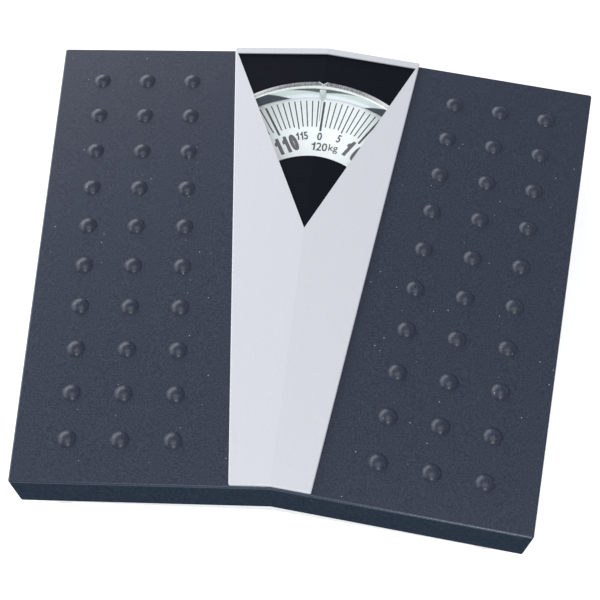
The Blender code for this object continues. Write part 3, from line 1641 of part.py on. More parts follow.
def make_dial(dial_material, hub_material):
    centre = (0, DIAL_Y)
    bore = circle(centre, SHAFT_RADIUS + SEAT_GAP, 12)
    rim = circle(centre, DIAL_RADIUS, DIAL_SIDES)
    plate("dial_disc", [rim, bore], DIAL_LOW, DIAL_TOP, dial_material)
    hub_high = DIAL_LOW - SEAT_GAP
    hub_low = hub_high - DIAL_HUB_THICKNESS
    plate("dial_hub", [circle(centre, DIAL_HUB_RADIUS, 28), bore], hub_low, hub_high, hub_material)
    clip_low = DIAL_TOP + SEAT_GAP
    clip_high = clip_low + DIAL_CLIP_HEIGHT
    plate("dial_clip", [circle(centre, DIAL_CLIP_RADIUS, 20), bore], clip_low, clip_high, hub_material)


def rack_outer_x():
    return PITCH_RADIUS + TOOTH_ADDENDUM + TOOTH_CLEARANCE + RACK_BODY_WIDTH


def return_spring_x():
    return rack_outer_x() - RACK_BODY_WIDTH / 2


def rack_front_y():
    """The front end of the rack at rest."""
    below = math.floor((-RACK_TRAVEL - RACK_TOOTH_LEAD) / TOOTH_PITCH)
    return DIAL_Y + (below + 0.5) * TOOTH_PITCH - TOOTH_ROOT_SHARE * TOOTH_PITCH / 2 - RACK_NOSE


def make_dial_bridge(material):
    """The bridge that carries the dial's bushing, guides the rack and anchors its return spring."""
    bridge = folded_bridge(
        "dial_bridge",
        DIAL_BRIDGE_HALF_SPAN,
        DIAL_BRIDGE_HALF_WIDTH,
        DIAL_BRIDGE_LEVEL,
        DIAL_BRIDGE_FOOT,
        BRIDGE_WALL,
        DIAL_Y,
        material,
    )
    top = DIAL_BRIDGE_LEVEL + BRIDGE_WALL
    guide_x = rack_outer_x() + RUNNING_GAP
    arm_x = return_spring_x()
    extras = [
        box_mesh(
            "guide",
            (guide_x, DIAL_Y - GUIDE_HALF_LENGTH, top - BRIDGE_WALL / 2),
            (guide_x + GUIDE_WALL, DIAL_Y + GUIDE_HALF_LENGTH, top + GUIDE_HEIGHT),
        ),
    ]
    arm_side = arm_x + RETURN_MEAN_RADIUS + RETURN_WIRE_RADIUS + RUNNING_GAP
    arm = box_mesh(
        "arm",
        (arm_side, HOOK_Y, DIAL_BRIDGE_LEVEL),
        (arm_side + HOOK_ARM_WIDTH, DIAL_Y - DIAL_BRIDGE_HALF_WIDTH / 2, top),
    )
    hook = box_mesh(
        "hook",
        (arm_x - HOOK_HALF_WIDTH, HOOK_Y, DIAL_BRIDGE_LEVEL),
        (arm_side + HOOK_ARM_WIDTH / 2, HOOK_Y + BRIDGE_WALL, top + HOOK_HEIGHT),
    )
    boolean(bridge, joined("bridge_guide", extras), "UNION")
    boolean(bridge, cutter("bridge_arm", arm), "UNION")
    boolean(bridge, cutter("bridge_hook", hook), "UNION")
    hole = cutter(
        "bushing_hole",
        upright_rod(
            "hole",
            BUSHING_RADIUS + SEAT_GAP,
            0,
            DIAL_Y,
            DIAL_BRIDGE_LEVEL - CUT_OVERRUN,
            top + CUT_OVERRUN,
            20,
        ),
    )
    return boolean(bridge, hole, "DIFFERENCE")


def make_return_spring(material):
    """The light spring between the rack's front end and the hook of the dial bridge."""
    length = RETURN_CURLS * RETURN_PITCH + RETURN_WIRE_RADIUS * 2
    start = (HOOK_Y + BRIDGE_WALL + rack_front_y()) / 2 - length / 2
    height = RACK_LEVEL + RACK_THICKNESS / 2 + SEAT_GAP
    return coil(
        "rack_return_spring",
        (return_spring_x(), start, height),
        (-math.pi / 2, 0, 0),
        0,
        RETURN_MEAN_RADIUS,
        RETURN_WIRE_RADIUS,
        RETURN_CURLS,
        RETURN_PITCH,
        material,
    )


def build():
    dark = new_material("dark grained paint", (0.052, 0.060, 0.082), 0.55)
    silver = new_material("silver paint", (0.70, 0.72, 0.77), 0.38, 0.35)
    black = new_material("black mask", (0.012, 0.012, 0.015), 0.35)
    clear = new_material("clear acrylic", (0.95, 0.97, 0.97), 0.05, 0.0, 1.0)
    white = new_material("white dial", (0.86, 0.87, 0.88), 0.5)
    pan = new_material("base paint", (0.030, 0.032, 0.038), 0.5)
    rubber = new_material("rubber", (0.02, 0.02, 0.02), 0.85)
    zinc = new_material("zinc plated steel", (0.62, 0.63, 0.62), 0.35, 1.0)
    steel = new_material("bright steel", (0.70, 0.70, 0.72), 0.22, 1.0)
    spring_steel = new_material("spring steel", (0.36, 0.37, 0.39), 0.3, 1.0)
    brass = new_material("brass", (0.78, 0.57, 0.22), 0.3, 1.0)
    plastic = new_material("black plastic", (0.03, 0.03, 0.03), 0.45)

    make_cover(dark)
    make_bezel(silver)
    make_push_nuts(spring_steel)
    make_mask(black)
    make_lens(clear)
    make_index(clear)
    make_seats(zinc)

    make_base(pan)
    make_feet(rubber)
    make_fulcrums(zinc)
    make_spring_bridge(zinc)
    make_dial_bridge(zinc)
    make_crank_bracket(zinc)
    make_hold_springs(spring_steel)

    make_long_lever(zinc, steel)
    make_short_lever("right", 1, zinc, steel)
    make_short_lever("left", -1, zinc, steel)
    make_calibrating_plate(zinc)
    make_main_spring(spring_steel)
    make_hanger(brass)
    make_adjuster(steel, plastic)

    make_crank(zinc, steel)
    make_rack(brass)
    make_return_spring(spring_steel)
    make_dial_drive(brass)
    make_dial(white, plastic)


clear_scene()
PARTS = new_collection("bathroom_scale")
CUTTERS = new_collection("cutters")
build()
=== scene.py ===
# %% [markdown]
# # A mechanical bathroom scale
#
# The scale is a pressed sheet platform on a base pan. Levers, a spring, a rack and a dial are packed as a fixed
# model. This lesson loads that model, gives it its finishes, and adds what the eye looks for first: the smooth
# rim of the platform, its domes, the silver bezel, and the printed dial under its clear window.

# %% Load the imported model
import json
import math

import bmesh
import bpy
from mathutils import Matrix, Vector


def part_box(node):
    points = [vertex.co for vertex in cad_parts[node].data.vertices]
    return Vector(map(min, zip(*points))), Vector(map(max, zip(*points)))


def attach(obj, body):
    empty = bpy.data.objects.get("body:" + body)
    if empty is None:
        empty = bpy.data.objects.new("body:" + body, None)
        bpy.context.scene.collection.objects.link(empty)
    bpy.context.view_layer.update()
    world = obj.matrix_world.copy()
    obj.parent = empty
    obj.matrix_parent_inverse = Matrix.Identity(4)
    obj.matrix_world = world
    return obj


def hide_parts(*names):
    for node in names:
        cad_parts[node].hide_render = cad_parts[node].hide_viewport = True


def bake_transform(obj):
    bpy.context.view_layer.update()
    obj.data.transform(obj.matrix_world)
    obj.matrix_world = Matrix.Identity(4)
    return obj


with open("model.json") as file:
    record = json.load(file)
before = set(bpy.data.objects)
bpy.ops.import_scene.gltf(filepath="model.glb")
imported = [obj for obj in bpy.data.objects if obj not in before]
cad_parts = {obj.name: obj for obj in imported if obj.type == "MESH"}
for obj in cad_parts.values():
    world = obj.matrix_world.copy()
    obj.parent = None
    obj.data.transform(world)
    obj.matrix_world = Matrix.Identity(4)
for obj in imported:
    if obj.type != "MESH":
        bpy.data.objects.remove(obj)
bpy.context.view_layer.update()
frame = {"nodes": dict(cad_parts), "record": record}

# %% [markdown]
# ## Camera and light
#
# The photograph looks down on the scale from in front, with a long lens. The grid of domes gave the camera's
# place and direction, and they are written here as three directions and a point. The pale upper left of every dome
# says where the main light was: behind the scale and to its left, and not high. A softbox from the left makes the
# two halves of the bezel differ. One above fills the dial, which lies deep under its window. A small one in front,
# to the right, sets the fine line on the front rim, which is bright on the right half alone, and the spot low on
# each dome. The pale studio round it all does the rest.

# %% Camera
FOCAL_PIXELS = 1247.0
FRAME_PIXELS = 600.0
SENSOR = 36.0
CAMERA_PLACE = Vector((0.03744, -0.32942, 0.58712))
RIGHTWARD = Vector((0.993602408, 0.112931833, -0.000810441))
DOWNWARD = Vector((0.0978909837, -0.864803455, -0.492475725))
FORWARD = Vector((-0.0563170589, 0.489245731, -0.870325803))

camera_data = bpy.data.cameras.new("photo_camera")
camera_data.sensor_width = SENSOR
camera_data.lens = SENSOR * FOCAL_PIXELS / FRAME_PIXELS
camera_data.clip_start = 0.01
camera = bpy.data.objects.new("photo_camera", camera_data)
bpy.context.scene.collection.objects.link(camera)
turn = Matrix((RIGHTWARD, -DOWNWARD, -FORWARD)).transposed().to_4x4()
camera.matrix_world = Matrix.Translation(CAMERA_PLACE) @ turn
bpy.context.scene.camera = camera
print("lens:", round(camera_data.lens, 1), "mm")


# %% Lights and world
def soft_light(name, place, target, width, height, power):
    """A flat light at a place, turned towards a target."""
    data = bpy.data.lights.new(name, "AREA")
    data.shape = "RECTANGLE"
    data.size = width
    data.size_y = height
    data.energy = power
    light = bpy.data.objects.new(name, data)
    bpy.context.scene.collection.objects.link(light)
    direction = Vector(target) - Vector(place)
    light.matrix_world = Matrix.Translation(place) @ direction.to_track_quat("-Z", "Y").to_matrix().to_4x4()


MIDDLE = (0, 0, 0.04)
soft_light("rear_left_key", (-1.05, 1.25, 0.66), MIDDLE, 2.0, 1.05, 22.0)
soft_light("left_softbox", (-1.35, -0.10, 0.62), MIDDLE, 1.5, 0.9, 9.0)
soft_light("front_softbox", (0.22, -1.15, 0.80), MIDDLE, 0.3, 0.25, 4.2)
soft_light("top_softbox", (0.10, -0.35, 1.10), MIDDLE, 0.95, 0.75, 4.3)

world = bpy.data.worlds.new("studio")
bpy.context.scene.world = world
world.use_nodes = True
background = world.node_tree.nodes["Background"]
background.inputs["Color"].default_value = (0.95, 0.965, 1.0, 1.0)
background.inputs["Strength"].default_value = 0.56
bpy.context.scene.view_settings.view_transform = "Standard"

# %% [markdown]
# ## Floor
#
# A plain pale floor carries the scale. It glows a little, as a light table does, which keeps the shadow in front of
# the scale pale.

# %% Helpers for pieces
COLLECTION = bpy.context.scene.collection


def piece_from(bm, name, material, sharp=35.0):
    """Turns a bmesh into an object whose faces point outwards."""
    bmesh.ops.recalc_face_normals(bm, faces=bm.faces)
    mesh = bpy.data.meshes.new(name)
    bm.to_mesh(mesh)
    bm.free()
    return piece_of(mesh, name, material, sharp)


def piece_of(mesh, name, material, sharp=35.0):
    """Turns a mesh into an object with one material, smooth but for folds of more than sharp degrees."""
    mesh.materials.clear()
    mesh.materials.append(material)
    mesh.shade_smooth()
    mesh.set_sharp_from_angle(angle=math.radians(sharp))
    piece = bpy.data.objects.new(name, mesh)
    COLLECTION.objects.link(piece)
    return piece


def settle(piece):
    """Applies every modifier of a piece, and leaves a plain mesh."""
    bpy.context.view_layer.update()
    graph = bpy.context.evaluated_depsgraph_get()
    mesh = bpy.data.meshes.new_from_object(piece.evaluated_get(graph))
    name = piece.name
    material = piece.data.materials[0] if piece.data.materials else None
    piece.modifiers.clear()
    piece.data = mesh
    mesh.name = name
    if material and not mesh.materials:
        mesh.materials.append(material)
    print(name, "has", len(mesh.polygons), "faces")


# %% Floor piece
FLOOR_SIZE = 4.0
FLOOR_GLOW = 0.30

floor_white = bpy.data.materials.new("floor_white")
floor_white.use_nodes = True
table_light = floor_white.node_tree.nodes["Principled BSDF"]
table_light.inputs["Base Color"].default_value = (0.88, 0.88, 0.88, 1.0)
table_light.inputs["Roughness"].default_value = 0.8
table_light.inputs["Emission Color"].default_value = (1, 1, 1, 1)
table_light.inputs["Emission Strength"].default_value = FLOOR_GLOW

floor_bm = bmesh.new()
bmesh.ops.create_grid(floor_bm, x_segments=1, y_segments=1, size=FLOOR_SIZE / 2)
floor = piece_from(floor_bm, "studio_floor", floor_white)
print("floor:", FLOOR_SIZE, "m wide")

# %% [markdown]
# ## Finishes
#
# Each finish is a small node tree. Paint on pressed steel isn't perfectly even: it has a fine grain that catches
# the light, and a dark one also shows dust. A helper adds the shader, a noise in the object's own space and a
# bump, and each finish sets its own values. The even values are typed on the shader itself.

# %% Finish helper
NOISE_ROUGHNESS = 0.6
SPECK_EDGE = 1.6


class Finish:
    """One procedural material, with short calls for its noise, colour and bump."""

    def __init__(self, name, roughness, metallic=0.0, **sockets):
        self.material = bpy.data.materials.new(name)
        self.material.use_nodes = True
        self.tree = self.material.node_tree
        self.shader = self.tree.nodes["Principled BSDF"]
        self.shader.inputs["Roughness"].default_value = roughness
        self.shader.inputs["Metallic"].default_value = metallic
        for socket, value in sockets.items():
            self.shader.inputs[socket.replace("_", " ")].default_value = value
        self.place = self.tree.nodes.new("ShaderNodeTexCoord").outputs["Object"]

    def stretched(self, scale):
        """The object's own space, drawn out or pressed together along its axes."""
        mapping = self.tree.nodes.new("ShaderNodeMapping")
        mapping.inputs["Scale"].default_value = scale
        self.tree.links.new(self.place, mapping.inputs["Vector"])
        return mapping.outputs["Vector"]

    def noise(self, scale, detail, vector=None):
        """A cloudy pattern in the object's own space, or in one that was stretched."""
        node = self.tree.nodes.new("ShaderNodeTexNoise")
        node.inputs["Scale"].default_value = scale
        node.inputs["Detail"].default_value = detail
        node.inputs["Roughness"].default_value = NOISE_ROUGHNESS
        self.tree.links.new(vector or self.place, node.inputs["Vector"])
        return node.outputs["Fac"]

    def calculate(self, operation, *values):
        """One sum in a Math node, of numbers and of other nodes' outputs."""
        node = self.tree.nodes.new("ShaderNodeMath")
        node.operation = operation
        for value, target in zip(values, node.inputs):
            if isinstance(value, (int, float)):
                target.default_value = value
            else:
                self.tree.links.new(value, target)
        return node.outputs["Value"]

    def axis(self, letter):
        """One coordinate of the object's own space."""
        split = self.tree.nodes.new("ShaderNodeSeparateXYZ")
        self.tree.links.new(self.place, split.inputs["Vector"])
        return split.outputs[letter]

    def aside(self, centre=0.0):
        """The distance from a centre along x, in the object's own space."""
        return self.calculate("ABSOLUTE", self.calculate("SUBTRACT", self.axis("X"), centre))

    def grown(self, value, start, end):
        """0 while a value is below start, 1 once it is past end."""
        grow = self.tree.nodes.new("ShaderNodeMapRange")
        grow.inputs["From Min"].default_value = start
        grow.inputs["From Max"].default_value = end
        self.tree.links.new(value, grow.inputs["Value"])
        return grow.outputs["Result"]

    def above_line(self, level, slope=0.0, centre=0.0, blur=0.0003):
        """1 above the height level + slope * |x - centre| and 0 below it."""
        border = self.calculate("MULTIPLY_ADD", self.aside(centre), slope, level)
        return self.grown(self.calculate("SUBTRACT", self.axis("Z"), border), -blur, blur)

    def specks(self, scale, radius):
        """Small round dots scattered at random: 1 inside a dot and 0 outside it."""
        cells = self.tree.nodes.new("ShaderNodeTexVoronoi")
        cells.inputs["Scale"].default_value = scale
        self.tree.links.new(self.place, cells.inputs["Vector"])
        return self.ramp(cells.outputs["Distance"], (radius, (1, 1, 1)), (radius * SPECK_EDGE, (0, 0, 0)))

    def ramp(self, factor, *stops):
        """Colours at places between 0 and 1, mixed between them by the factor."""
        node = self.tree.nodes.new("ShaderNodeValToRGB")
        elements = node.color_ramp.elements
        while len(elements) < len(stops):
            elements.new(0.5)
        for element, (position, colour) in zip(elements, stops):
            element.position = position
            element.color = (*colour, 1.0)
        self.tree.links.new(factor, node.inputs["Fac"])
        return node.outputs["Color"]

    def mixed(self, factor, first, second):
        """The first colour where the factor is 0, the second where it is 1."""
        node = self.tree.nodes.new("ShaderNodeMix")
        node.data_type = "RGBA"
        self.tree.links.new(factor, node.inputs["Factor"])
        for socket, value in (("A", first), ("B", second)):
            target = [s for s in node.inputs if s.name == socket and s.type == "RGBA"][0]
            if isinstance(value, tuple):
                target.default_value = (*value, 1.0)
            else:
                self.tree.links.new(value, target)
        return [s for s in node.outputs if s.type == "RGBA"][0]

    def to(self, socket, output):
        """Links an output to a socket of the shader."""
        self.tree.links.new(output, self.shader.inputs[socket])

    def tinted(self, factor, *stops):
        """The finish's colour, as a ramp of a factor."""
        self.to("Base Color", self.ramp(factor, *stops))

    def glossed(self, factor, *stops):
        """The finish's roughness, as a ramp of a factor."""
        greys = [(position, (roughness,) * 3) for position, roughness in stops]
        self.to("Roughness", self.ramp(factor, *greys))

    def bump(self, height, strength, depth):
        """Makes the surface look rough by a height, without changing its shape."""
        node = self.tree.nodes.new("ShaderNodeBump")
        node.inputs["Strength"].default_value = strength
        node.inputs["Distance"].default_value = depth
        self.tree.links.new(height, node.inputs["Height"])
        self.tree.links.new(node.outputs["Normal"], self.shader.inputs["Normal"])


# %% [markdown]
# ### Platform paint
#
# The platform's paint is a dark blue grey with a fine leathery grain. The photograph shows pale dust on it, which
# is drawn as tiny dots where a random pattern of cells has its centres, thinned out by a slow noise.

# %% Dark grained paint
dark = Finish("dark_grained_paint", 0.36, Specular_IOR_Level=0.45)
grain = dark.noise(1300.0, 4.0)
shade = dark.ramp(grain, (0.36, (0.0095, 0.0138, 0.0285)), (0.66, (0.0285, 0.0365, 0.0650)))
dust = dark.specks(240.0, 0.050)
patchy = dark.ramp(dark.noise(140.0, 2.0), (0.55, (0, 0, 0)), (0.59, (1, 1, 1)))
shown = dark.mixed(patchy, (0, 0, 0), dust)
dark.to("Base Color", dark.mixed(shown, shade, (0.30, 0.33, 0.38)))
dark.glossed(grain, (0.3, 0.30), (0.8, 0.42))
dark.bump(grain, 0.25, 0.00010)
print(dark.material.name, "has", len(dark.tree.nodes), "nodes")

# %% [markdown]
# The turned-down skirt gets a paint of its own. It is bluer and dull, and its colour is darker than the top's: that
# darkness is painted shade.

# %% Paint of the skirt
shade_painted_skirt = Finish("skirt_with_painted_shade", 0.6, Specular_IOR_Level=0.0)
skirt_grain = shade_painted_skirt.noise(700.0, 4.0)
# Colours darker than the top's, as painted shade on the upright skirt.
shade_painted_skirt.tinted(skirt_grain, (0.35, (0.014, 0.022, 0.036)), (0.7, (0.029, 0.040, 0.058)))
shade_painted_skirt.bump(skirt_grain, 0.25, 0.0001)
print(shade_painted_skirt.material.name, "has", len(shade_painted_skirt.tree.nodes), "nodes")

# %% [markdown]
# Hands and cloths wipe the fold between top and skirt most, so its paint is polished. It is what draws the fine
# bright line along the front rim, and its bluish gleam is a tint on the shader's own specular socket.

# %% Polished fold
fold_paint = Finish("polished_fold_paint", 0.20, IOR=1.6, Specular_Tint=(0.76, 0.88, 1.0, 1.0))
fold_grain = fold_paint.noise(900.0, 2.0)
fold_paint.tinted(fold_grain, (0.3, (0.010, 0.016, 0.032)), (0.8, (0.017, 0.025, 0.046)))
print(fold_paint.material.name, "has", len(fold_paint.tree.nodes), "nodes")

# %% [markdown]
# ### Silver paint
#
# The bezel is painted too: a pale satin silver whose metal flakes are finer than a pixel. A very small noise in
# the colour and the roughness keeps it from looking like flat plastic.

# %% Silver paint
silver = Finish("satin_silver_paint", 0.42, 0.15)
flakes = silver.noise(2600.0, 2.0)
silver.tinted(flakes, (0.3, (0.532, 0.548, 0.582)), (0.7, (0.592, 0.607, 0.646)))
silver.glossed(flakes, (0.3, 0.36), (0.7, 0.48))
silver.bump(flakes, 0.15, 0.00004)
print(silver.material.name, "has", len(silver.tree.nodes), "nodes")

# %% [markdown]
# ### Mask, window and dial
#
# The mask is smooth black plastic, and the dial is white plastic with dark print. The window is one clear moulding,
# but its surfaces don't look alike: the plate is clear, the step frosted and painted near white as a highlight, and
# the lip ribbed, which pales towards its ends. So each has a finish of its own.

# %% Mask and clear plastic
mask_black = Finish("black_mask", 0.55, Specular_IOR_Level=0.05)
mask_cloud = mask_black.noise(700.0, 2.0)
mask_black.tinted(mask_cloud, (0.3, (0.003, 0.0045, 0.0075)), (0.8, (0.0055, 0.0075, 0.012)))

clear = Finish("clear_acrylic", 0.03, Transmission_Weight=1.0, IOR=1.49)
clear.tinted(clear.noise(90.0, 2.0), (0.2, (0.955, 0.975, 0.98)), (0.9, (0.98, 0.995, 1.0)))

step_frost_and_highlight = Finish("step_frost_and_painted_highlight", 0.35, Transmission_Weight=0.25, IOR=1.49)
frosted_cloud = step_frost_and_highlight.noise(420.0, 3.0)
# Near-white tones: partly the frosted plastic's own, and partly a painted highlight on the moulded edge.
step_frost_and_highlight.tinted(frosted_cloud, (0.3, (0.84, 0.88, 0.87)), (0.7, (0.94, 0.97, 0.96)))
step_frost_and_highlight.bump(frosted_cloud, 0.2, 0.0001)

RIBS_FADE_FROM = 0.020
RIBS_FADE_TO = 0.034
ribbed = Finish("ribbed_acrylic", 0.3, Transmission_Weight=0.3, IOR=1.49)
ribs = ribbed.noise(1500.0, 3.0, vector=ribbed.stretched((1, 0.25, 0.25)))
ribbed_tone = ribbed.ramp(ribs, (0.42, (0.17, 0.17, 0.195)), (0.62, (0.50, 0.51, 0.53)))
faded = ribbed.grown(ribbed.aside(), RIBS_FADE_FROM, RIBS_FADE_TO)
ribbed.to("Base Color", ribbed.mixed(faded, ribbed_tone, (0.70, 0.72, 0.73)))
ribbed.bump(ribs, 0.5, 0.0002)
print("clear plastics:", clear.material.name, step_frost_and_highlight.material.name, ribbed.material.name)

# %% [markdown]
# The window's wall mirrors what lies round it: the pale dial low down, a greener pale above that, a dark crescent
# under its upper edge, and a dark wedge towards its ends. A real mirror of this size would need many samples, so
# the four tones are painted on the wall, by heights that grow with the distance from a centre.

# %% Mirroring wall
WALL_SPLIT = 0.0400
CRESCENT_LEVEL = 0.0411
CRESCENT_SLOPE = 0.18
WEDGE_LEVEL = 0.02337
WEDGE_SLOPE = 0.656
WEDGE_CENTRE = 0.0028
wall_tint = Finish("mirroring_wall", 0.35, Specular_IOR_Level=0.0)
upper_half = wall_tint.above_line(WALL_SPLIT, blur=0.0008)
pale = wall_tint.mixed(upper_half, (0.80, 0.85, 0.90), (0.62, 0.70, 0.68))
crescent = wall_tint.above_line(CRESCENT_LEVEL, slope=CRESCENT_SLOPE, blur=0.0004)
with_crescent = wall_tint.mixed(crescent, pale, (0.07, 0.10, 0.095))
clear_of_wedge = wall_tint.above_line(WEDGE_LEVEL, slope=WEDGE_SLOPE, centre=WEDGE_CENTRE)
wall_tint.to("Base Color", wall_tint.mixed(clear_of_wedge, (0.030, 0.045, 0.068), with_crescent))
print(wall_tint.material.name, "has", len(wall_tint.tree.nodes), "nodes")

# %% Index, dial and print
index_pale = Finish("index_acrylic", 0.3, Transmission_Weight=0.2, IOR=1.49)
index_pale.tinted(index_pale.noise(700.0, 2.0), (0.3, (0.52, 0.58, 0.58)), (0.7, (0.70, 0.77, 0.76)))

index_grey = Finish("index_grey", 0.4, Transmission_Weight=0.2, IOR=1.49)
index_grey.tinted(index_grey.noise(900.0, 2.0), (0.3, (0.22, 0.24, 0.25)), (0.7, (0.34, 0.37, 0.38)))

dial_white = Finish("dial_white", 0.5)
dial_white.tinted(dial_white.noise(600.0, 2.0), (0.3, (0.79, 0.815, 0.825)), (0.8, (0.83, 0.855, 0.865)))

print_black = Finish("dial_print", 0.45)
print_black.tinted(print_black.noise(900.0, 2.0), (0.3, (0.020, 0.024, 0.028)), (0.8, (0.032, 0.036, 0.042)))

print_grey = Finish("dial_print_grey", 0.45)
print_grey.tinted(print_grey.noise(900.0, 2.0), (0.3, (0.058, 0.060, 0.075)), (0.8, (0.080, 0.083, 0.10)))
print("dial:", dial_white.material.name, print_black.material.name, print_grey.material.name)

# %% [markdown]
# ### Base and mechanism
#
# The pan below and its feet are pale, as nothing dark shows below the skirt in the photograph. Pressed steel inside
# is zinc plated, which shows cloudy crystals, and turned or drawn steel shows fine lines.

# %% Base, rubber and black plastic
base_paint = Finish("base_paint", 0.5)
base_grain = base_paint.noise(1400.0, 3.0)
base_paint.tinted(base_grain, (0.3, (0.70, 0.71, 0.72)), (0.75, (0.76, 0.77, 0.78)))
base_paint.bump(base_grain, 0.3, 0.0001)

rubber = Finish("foot_rubber", 0.85)
rubber_grain = rubber.noise(900.0, 3.0)
rubber.tinted(rubber_grain, (0.3, (0.70, 0.70, 0.69)), (0.8, (0.76, 0.76, 0.75)))
rubber.bump(rubber_grain, 0.4, 0.0001)

black_plastic = Finish("black_plastic", 0.45)
plastic_grain = black_plastic.noise(1500.0, 2.0)
black_plastic.tinted(plastic_grain, (0.3, (0.012, 0.012, 0.013)), (0.8, (0.022, 0.022, 0.024)))
black_plastic.bump(plastic_grain, 0.2, 0.00006)
print("base:", base_paint.material.name, rubber.material.name, black_plastic.material.name)


# %% Metals
def metal(name, dark_tone, light_tone, roughness, scale, stretch=(1, 1, 1)):
    """A metal whose tone and gloss vary with a noise, drawn out along an axis where it was rolled or drawn."""
    finish = Finish(name, roughness, 1.0)
    cloud = finish.noise(scale, 5.0, vector=finish.stretched(stretch))
    finish.tinted(cloud, (0.3, dark_tone), (0.7, light_tone))
    finish.glossed(cloud, (0.3, roughness - 0.06), (0.7, roughness + 0.1))
    finish.bump(cloud, 0.1, 0.00005)
    print(name, "has", len(finish.tree.nodes), "nodes")
    return finish


zinc = metal("zinc_plate", (0.50, 0.51, 0.50), (0.68, 0.69, 0.68), 0.34, 220.0)
bright_steel = metal("bright_steel", (0.58, 0.58, 0.60), (0.72, 0.72, 0.74), 0.22, 300.0, (1, 8, 8))
spring_steel = metal("spring_steel", (0.26, 0.27, 0.29), (0.40, 0.41, 0.43), 0.28, 400.0)
brass = metal("turned_brass", (0.62, 0.43, 0.16), (0.80, 0.60, 0.27), 0.28, 260.0, (1, 1, 6))

# %% [markdown]
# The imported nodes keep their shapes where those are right, and only get their finish. The record says which
# material slot each node has, so the finish is looked up by that slot.

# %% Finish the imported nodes
FINISH_OF_SLOT = {
    "cover_paint": dark,
    "bezel_paint": silver,
    "mask": mask_black,
    "clear": clear,
    "dial": dial_white,
    "base_paint": base_paint,
    "rubber": rubber,
    "brass": brass,
    "black_plastic": black_plastic,
    "spring_steel": spring_steel,
    "bright_steel": bright_steel,
    "zinc": zinc,
}
slot_of_node = {part["node"]: part["material_slot"] for part in frame["record"]["subparts"]}
for name, node in frame["nodes"].items():
    node.data.materials.clear()
    node.data.materials.append(FINISH_OF_SLOT[slot_of_node[name]].material)
print("nodes with a finish:", len(frame["nodes"]))

# %% [markdown]
# ## Platform
#
# Seen from above, the platform is a chevron that widens towards its rear, and its two halves slope away from a
# ridge. Its rim is rolled over a small radius, which the light turns into one bright line along the front. The
# packed cover has a coarse rim, so a finer one stands in for it: half of the sheet is drawn, its edge is pulled
# down, the fold is bevelled, and the half is mirrored and given a thickness.

# %% Sizes of the platform
PLATFORM_DEPTH = 0.2612
FRONT_HALF_WIDTH = 0.1214
REAR_HALF_WIDTH = 0.1480
SWEEP = math.tan(math.radians(4.05))
ROOF = math.tan(math.radians(2.0))
RIDGE_HEIGHT = 0.0480
SKIRT_DEPTH = 0.0230
COVER_WALL = 0.0012
COVER_EDGE_RADIUS = 0.0010
CORNER_RADIUS = 0.0014
SKIRT_DRAFT = 0.0015
BEZEL_OVERHANG = 0.0007
CORNER_DROP = FRONT_HALF_WIDTH * SWEEP
FRONT_Y = CORNER_DROP - (PLATFORM_DEPTH + BEZEL_OVERHANG + CORNER_DROP) / 2
REAR_Y = FRONT_Y + PLATFORM_DEPTH
SIDE_LENGTH = PLATFORM_DEPTH - (REAR_HALF_WIDTH - FRONT_HALF_WIDTH) * SWEEP
SIDE_LEAN = (REAR_HALF_WIDTH - FRONT_HALF_WIDTH) / SIDE_LENGTH
SMOOTH_STEPS = 8
FOLD_ANGLE = 30.0
MERGE = 0.000005


def roof(x, lift=0.0):
    """The height of the platform's top at this distance from the ridge, and a lift above it."""
    return RIDGE_HEIGHT - abs(x) * ROOF + lift


def side_x(y):
    """Where the platform's side stands at this place."""
    return FRONT_HALF_WIDTH + (y - (FRONT_Y - CORNER_DROP)) * SIDE_LEAN


print("platform from y =", round(1000 * FRONT_Y, 1), "to", round(1000 * REAR_Y, 1), "mm")


# %% Half of the outline
def rounded(points, radius, skip):
    """The outline with its corners turned into arcs, but for those listed in skip."""
    outline = []
    for i, point in enumerate(points):
        here = Vector(point)
        if i in skip:
            outline.append(tuple(here))
            continue
        before = (Vector(points[i - 1]) - here).normalized()
        after = (Vector(points[(i + 1) % len(points)]) - here).normalized()
        half = before.angle(after) / 2
        centre = here + (before + after).normalized() * (radius / math.sin(half))
        start = here + before * (radius / math.tan(half)) - centre
        end = here + after * (radius / math.tan(half)) - centre
        sweep = start.angle_signed(end)
        for step in range(SMOOTH_STEPS + 1):
            spoke = start.copy()
            spoke.rotate(Matrix.Rotation(-sweep * step / SMOOTH_STEPS, 2))
            outline.append(tuple(centre + spoke))
    return outline


def platform_half():
    """Right half of the platform's outline, from the front kink to the rear kink."""
    corners = []
    for start in (FRONT_Y, REAR_Y):
        x = side_x(start) / (1 + SIDE_LEAN * SWEEP)
        corners.append((x, start - x * SWEEP))
    return [(0, FRONT_Y), corners[0], corners[1], (0, REAR_Y)]


outline = rounded(platform_half(), CORNER_RADIUS, skip=(0, 3))
print("points on half of the outline:", len(outline))


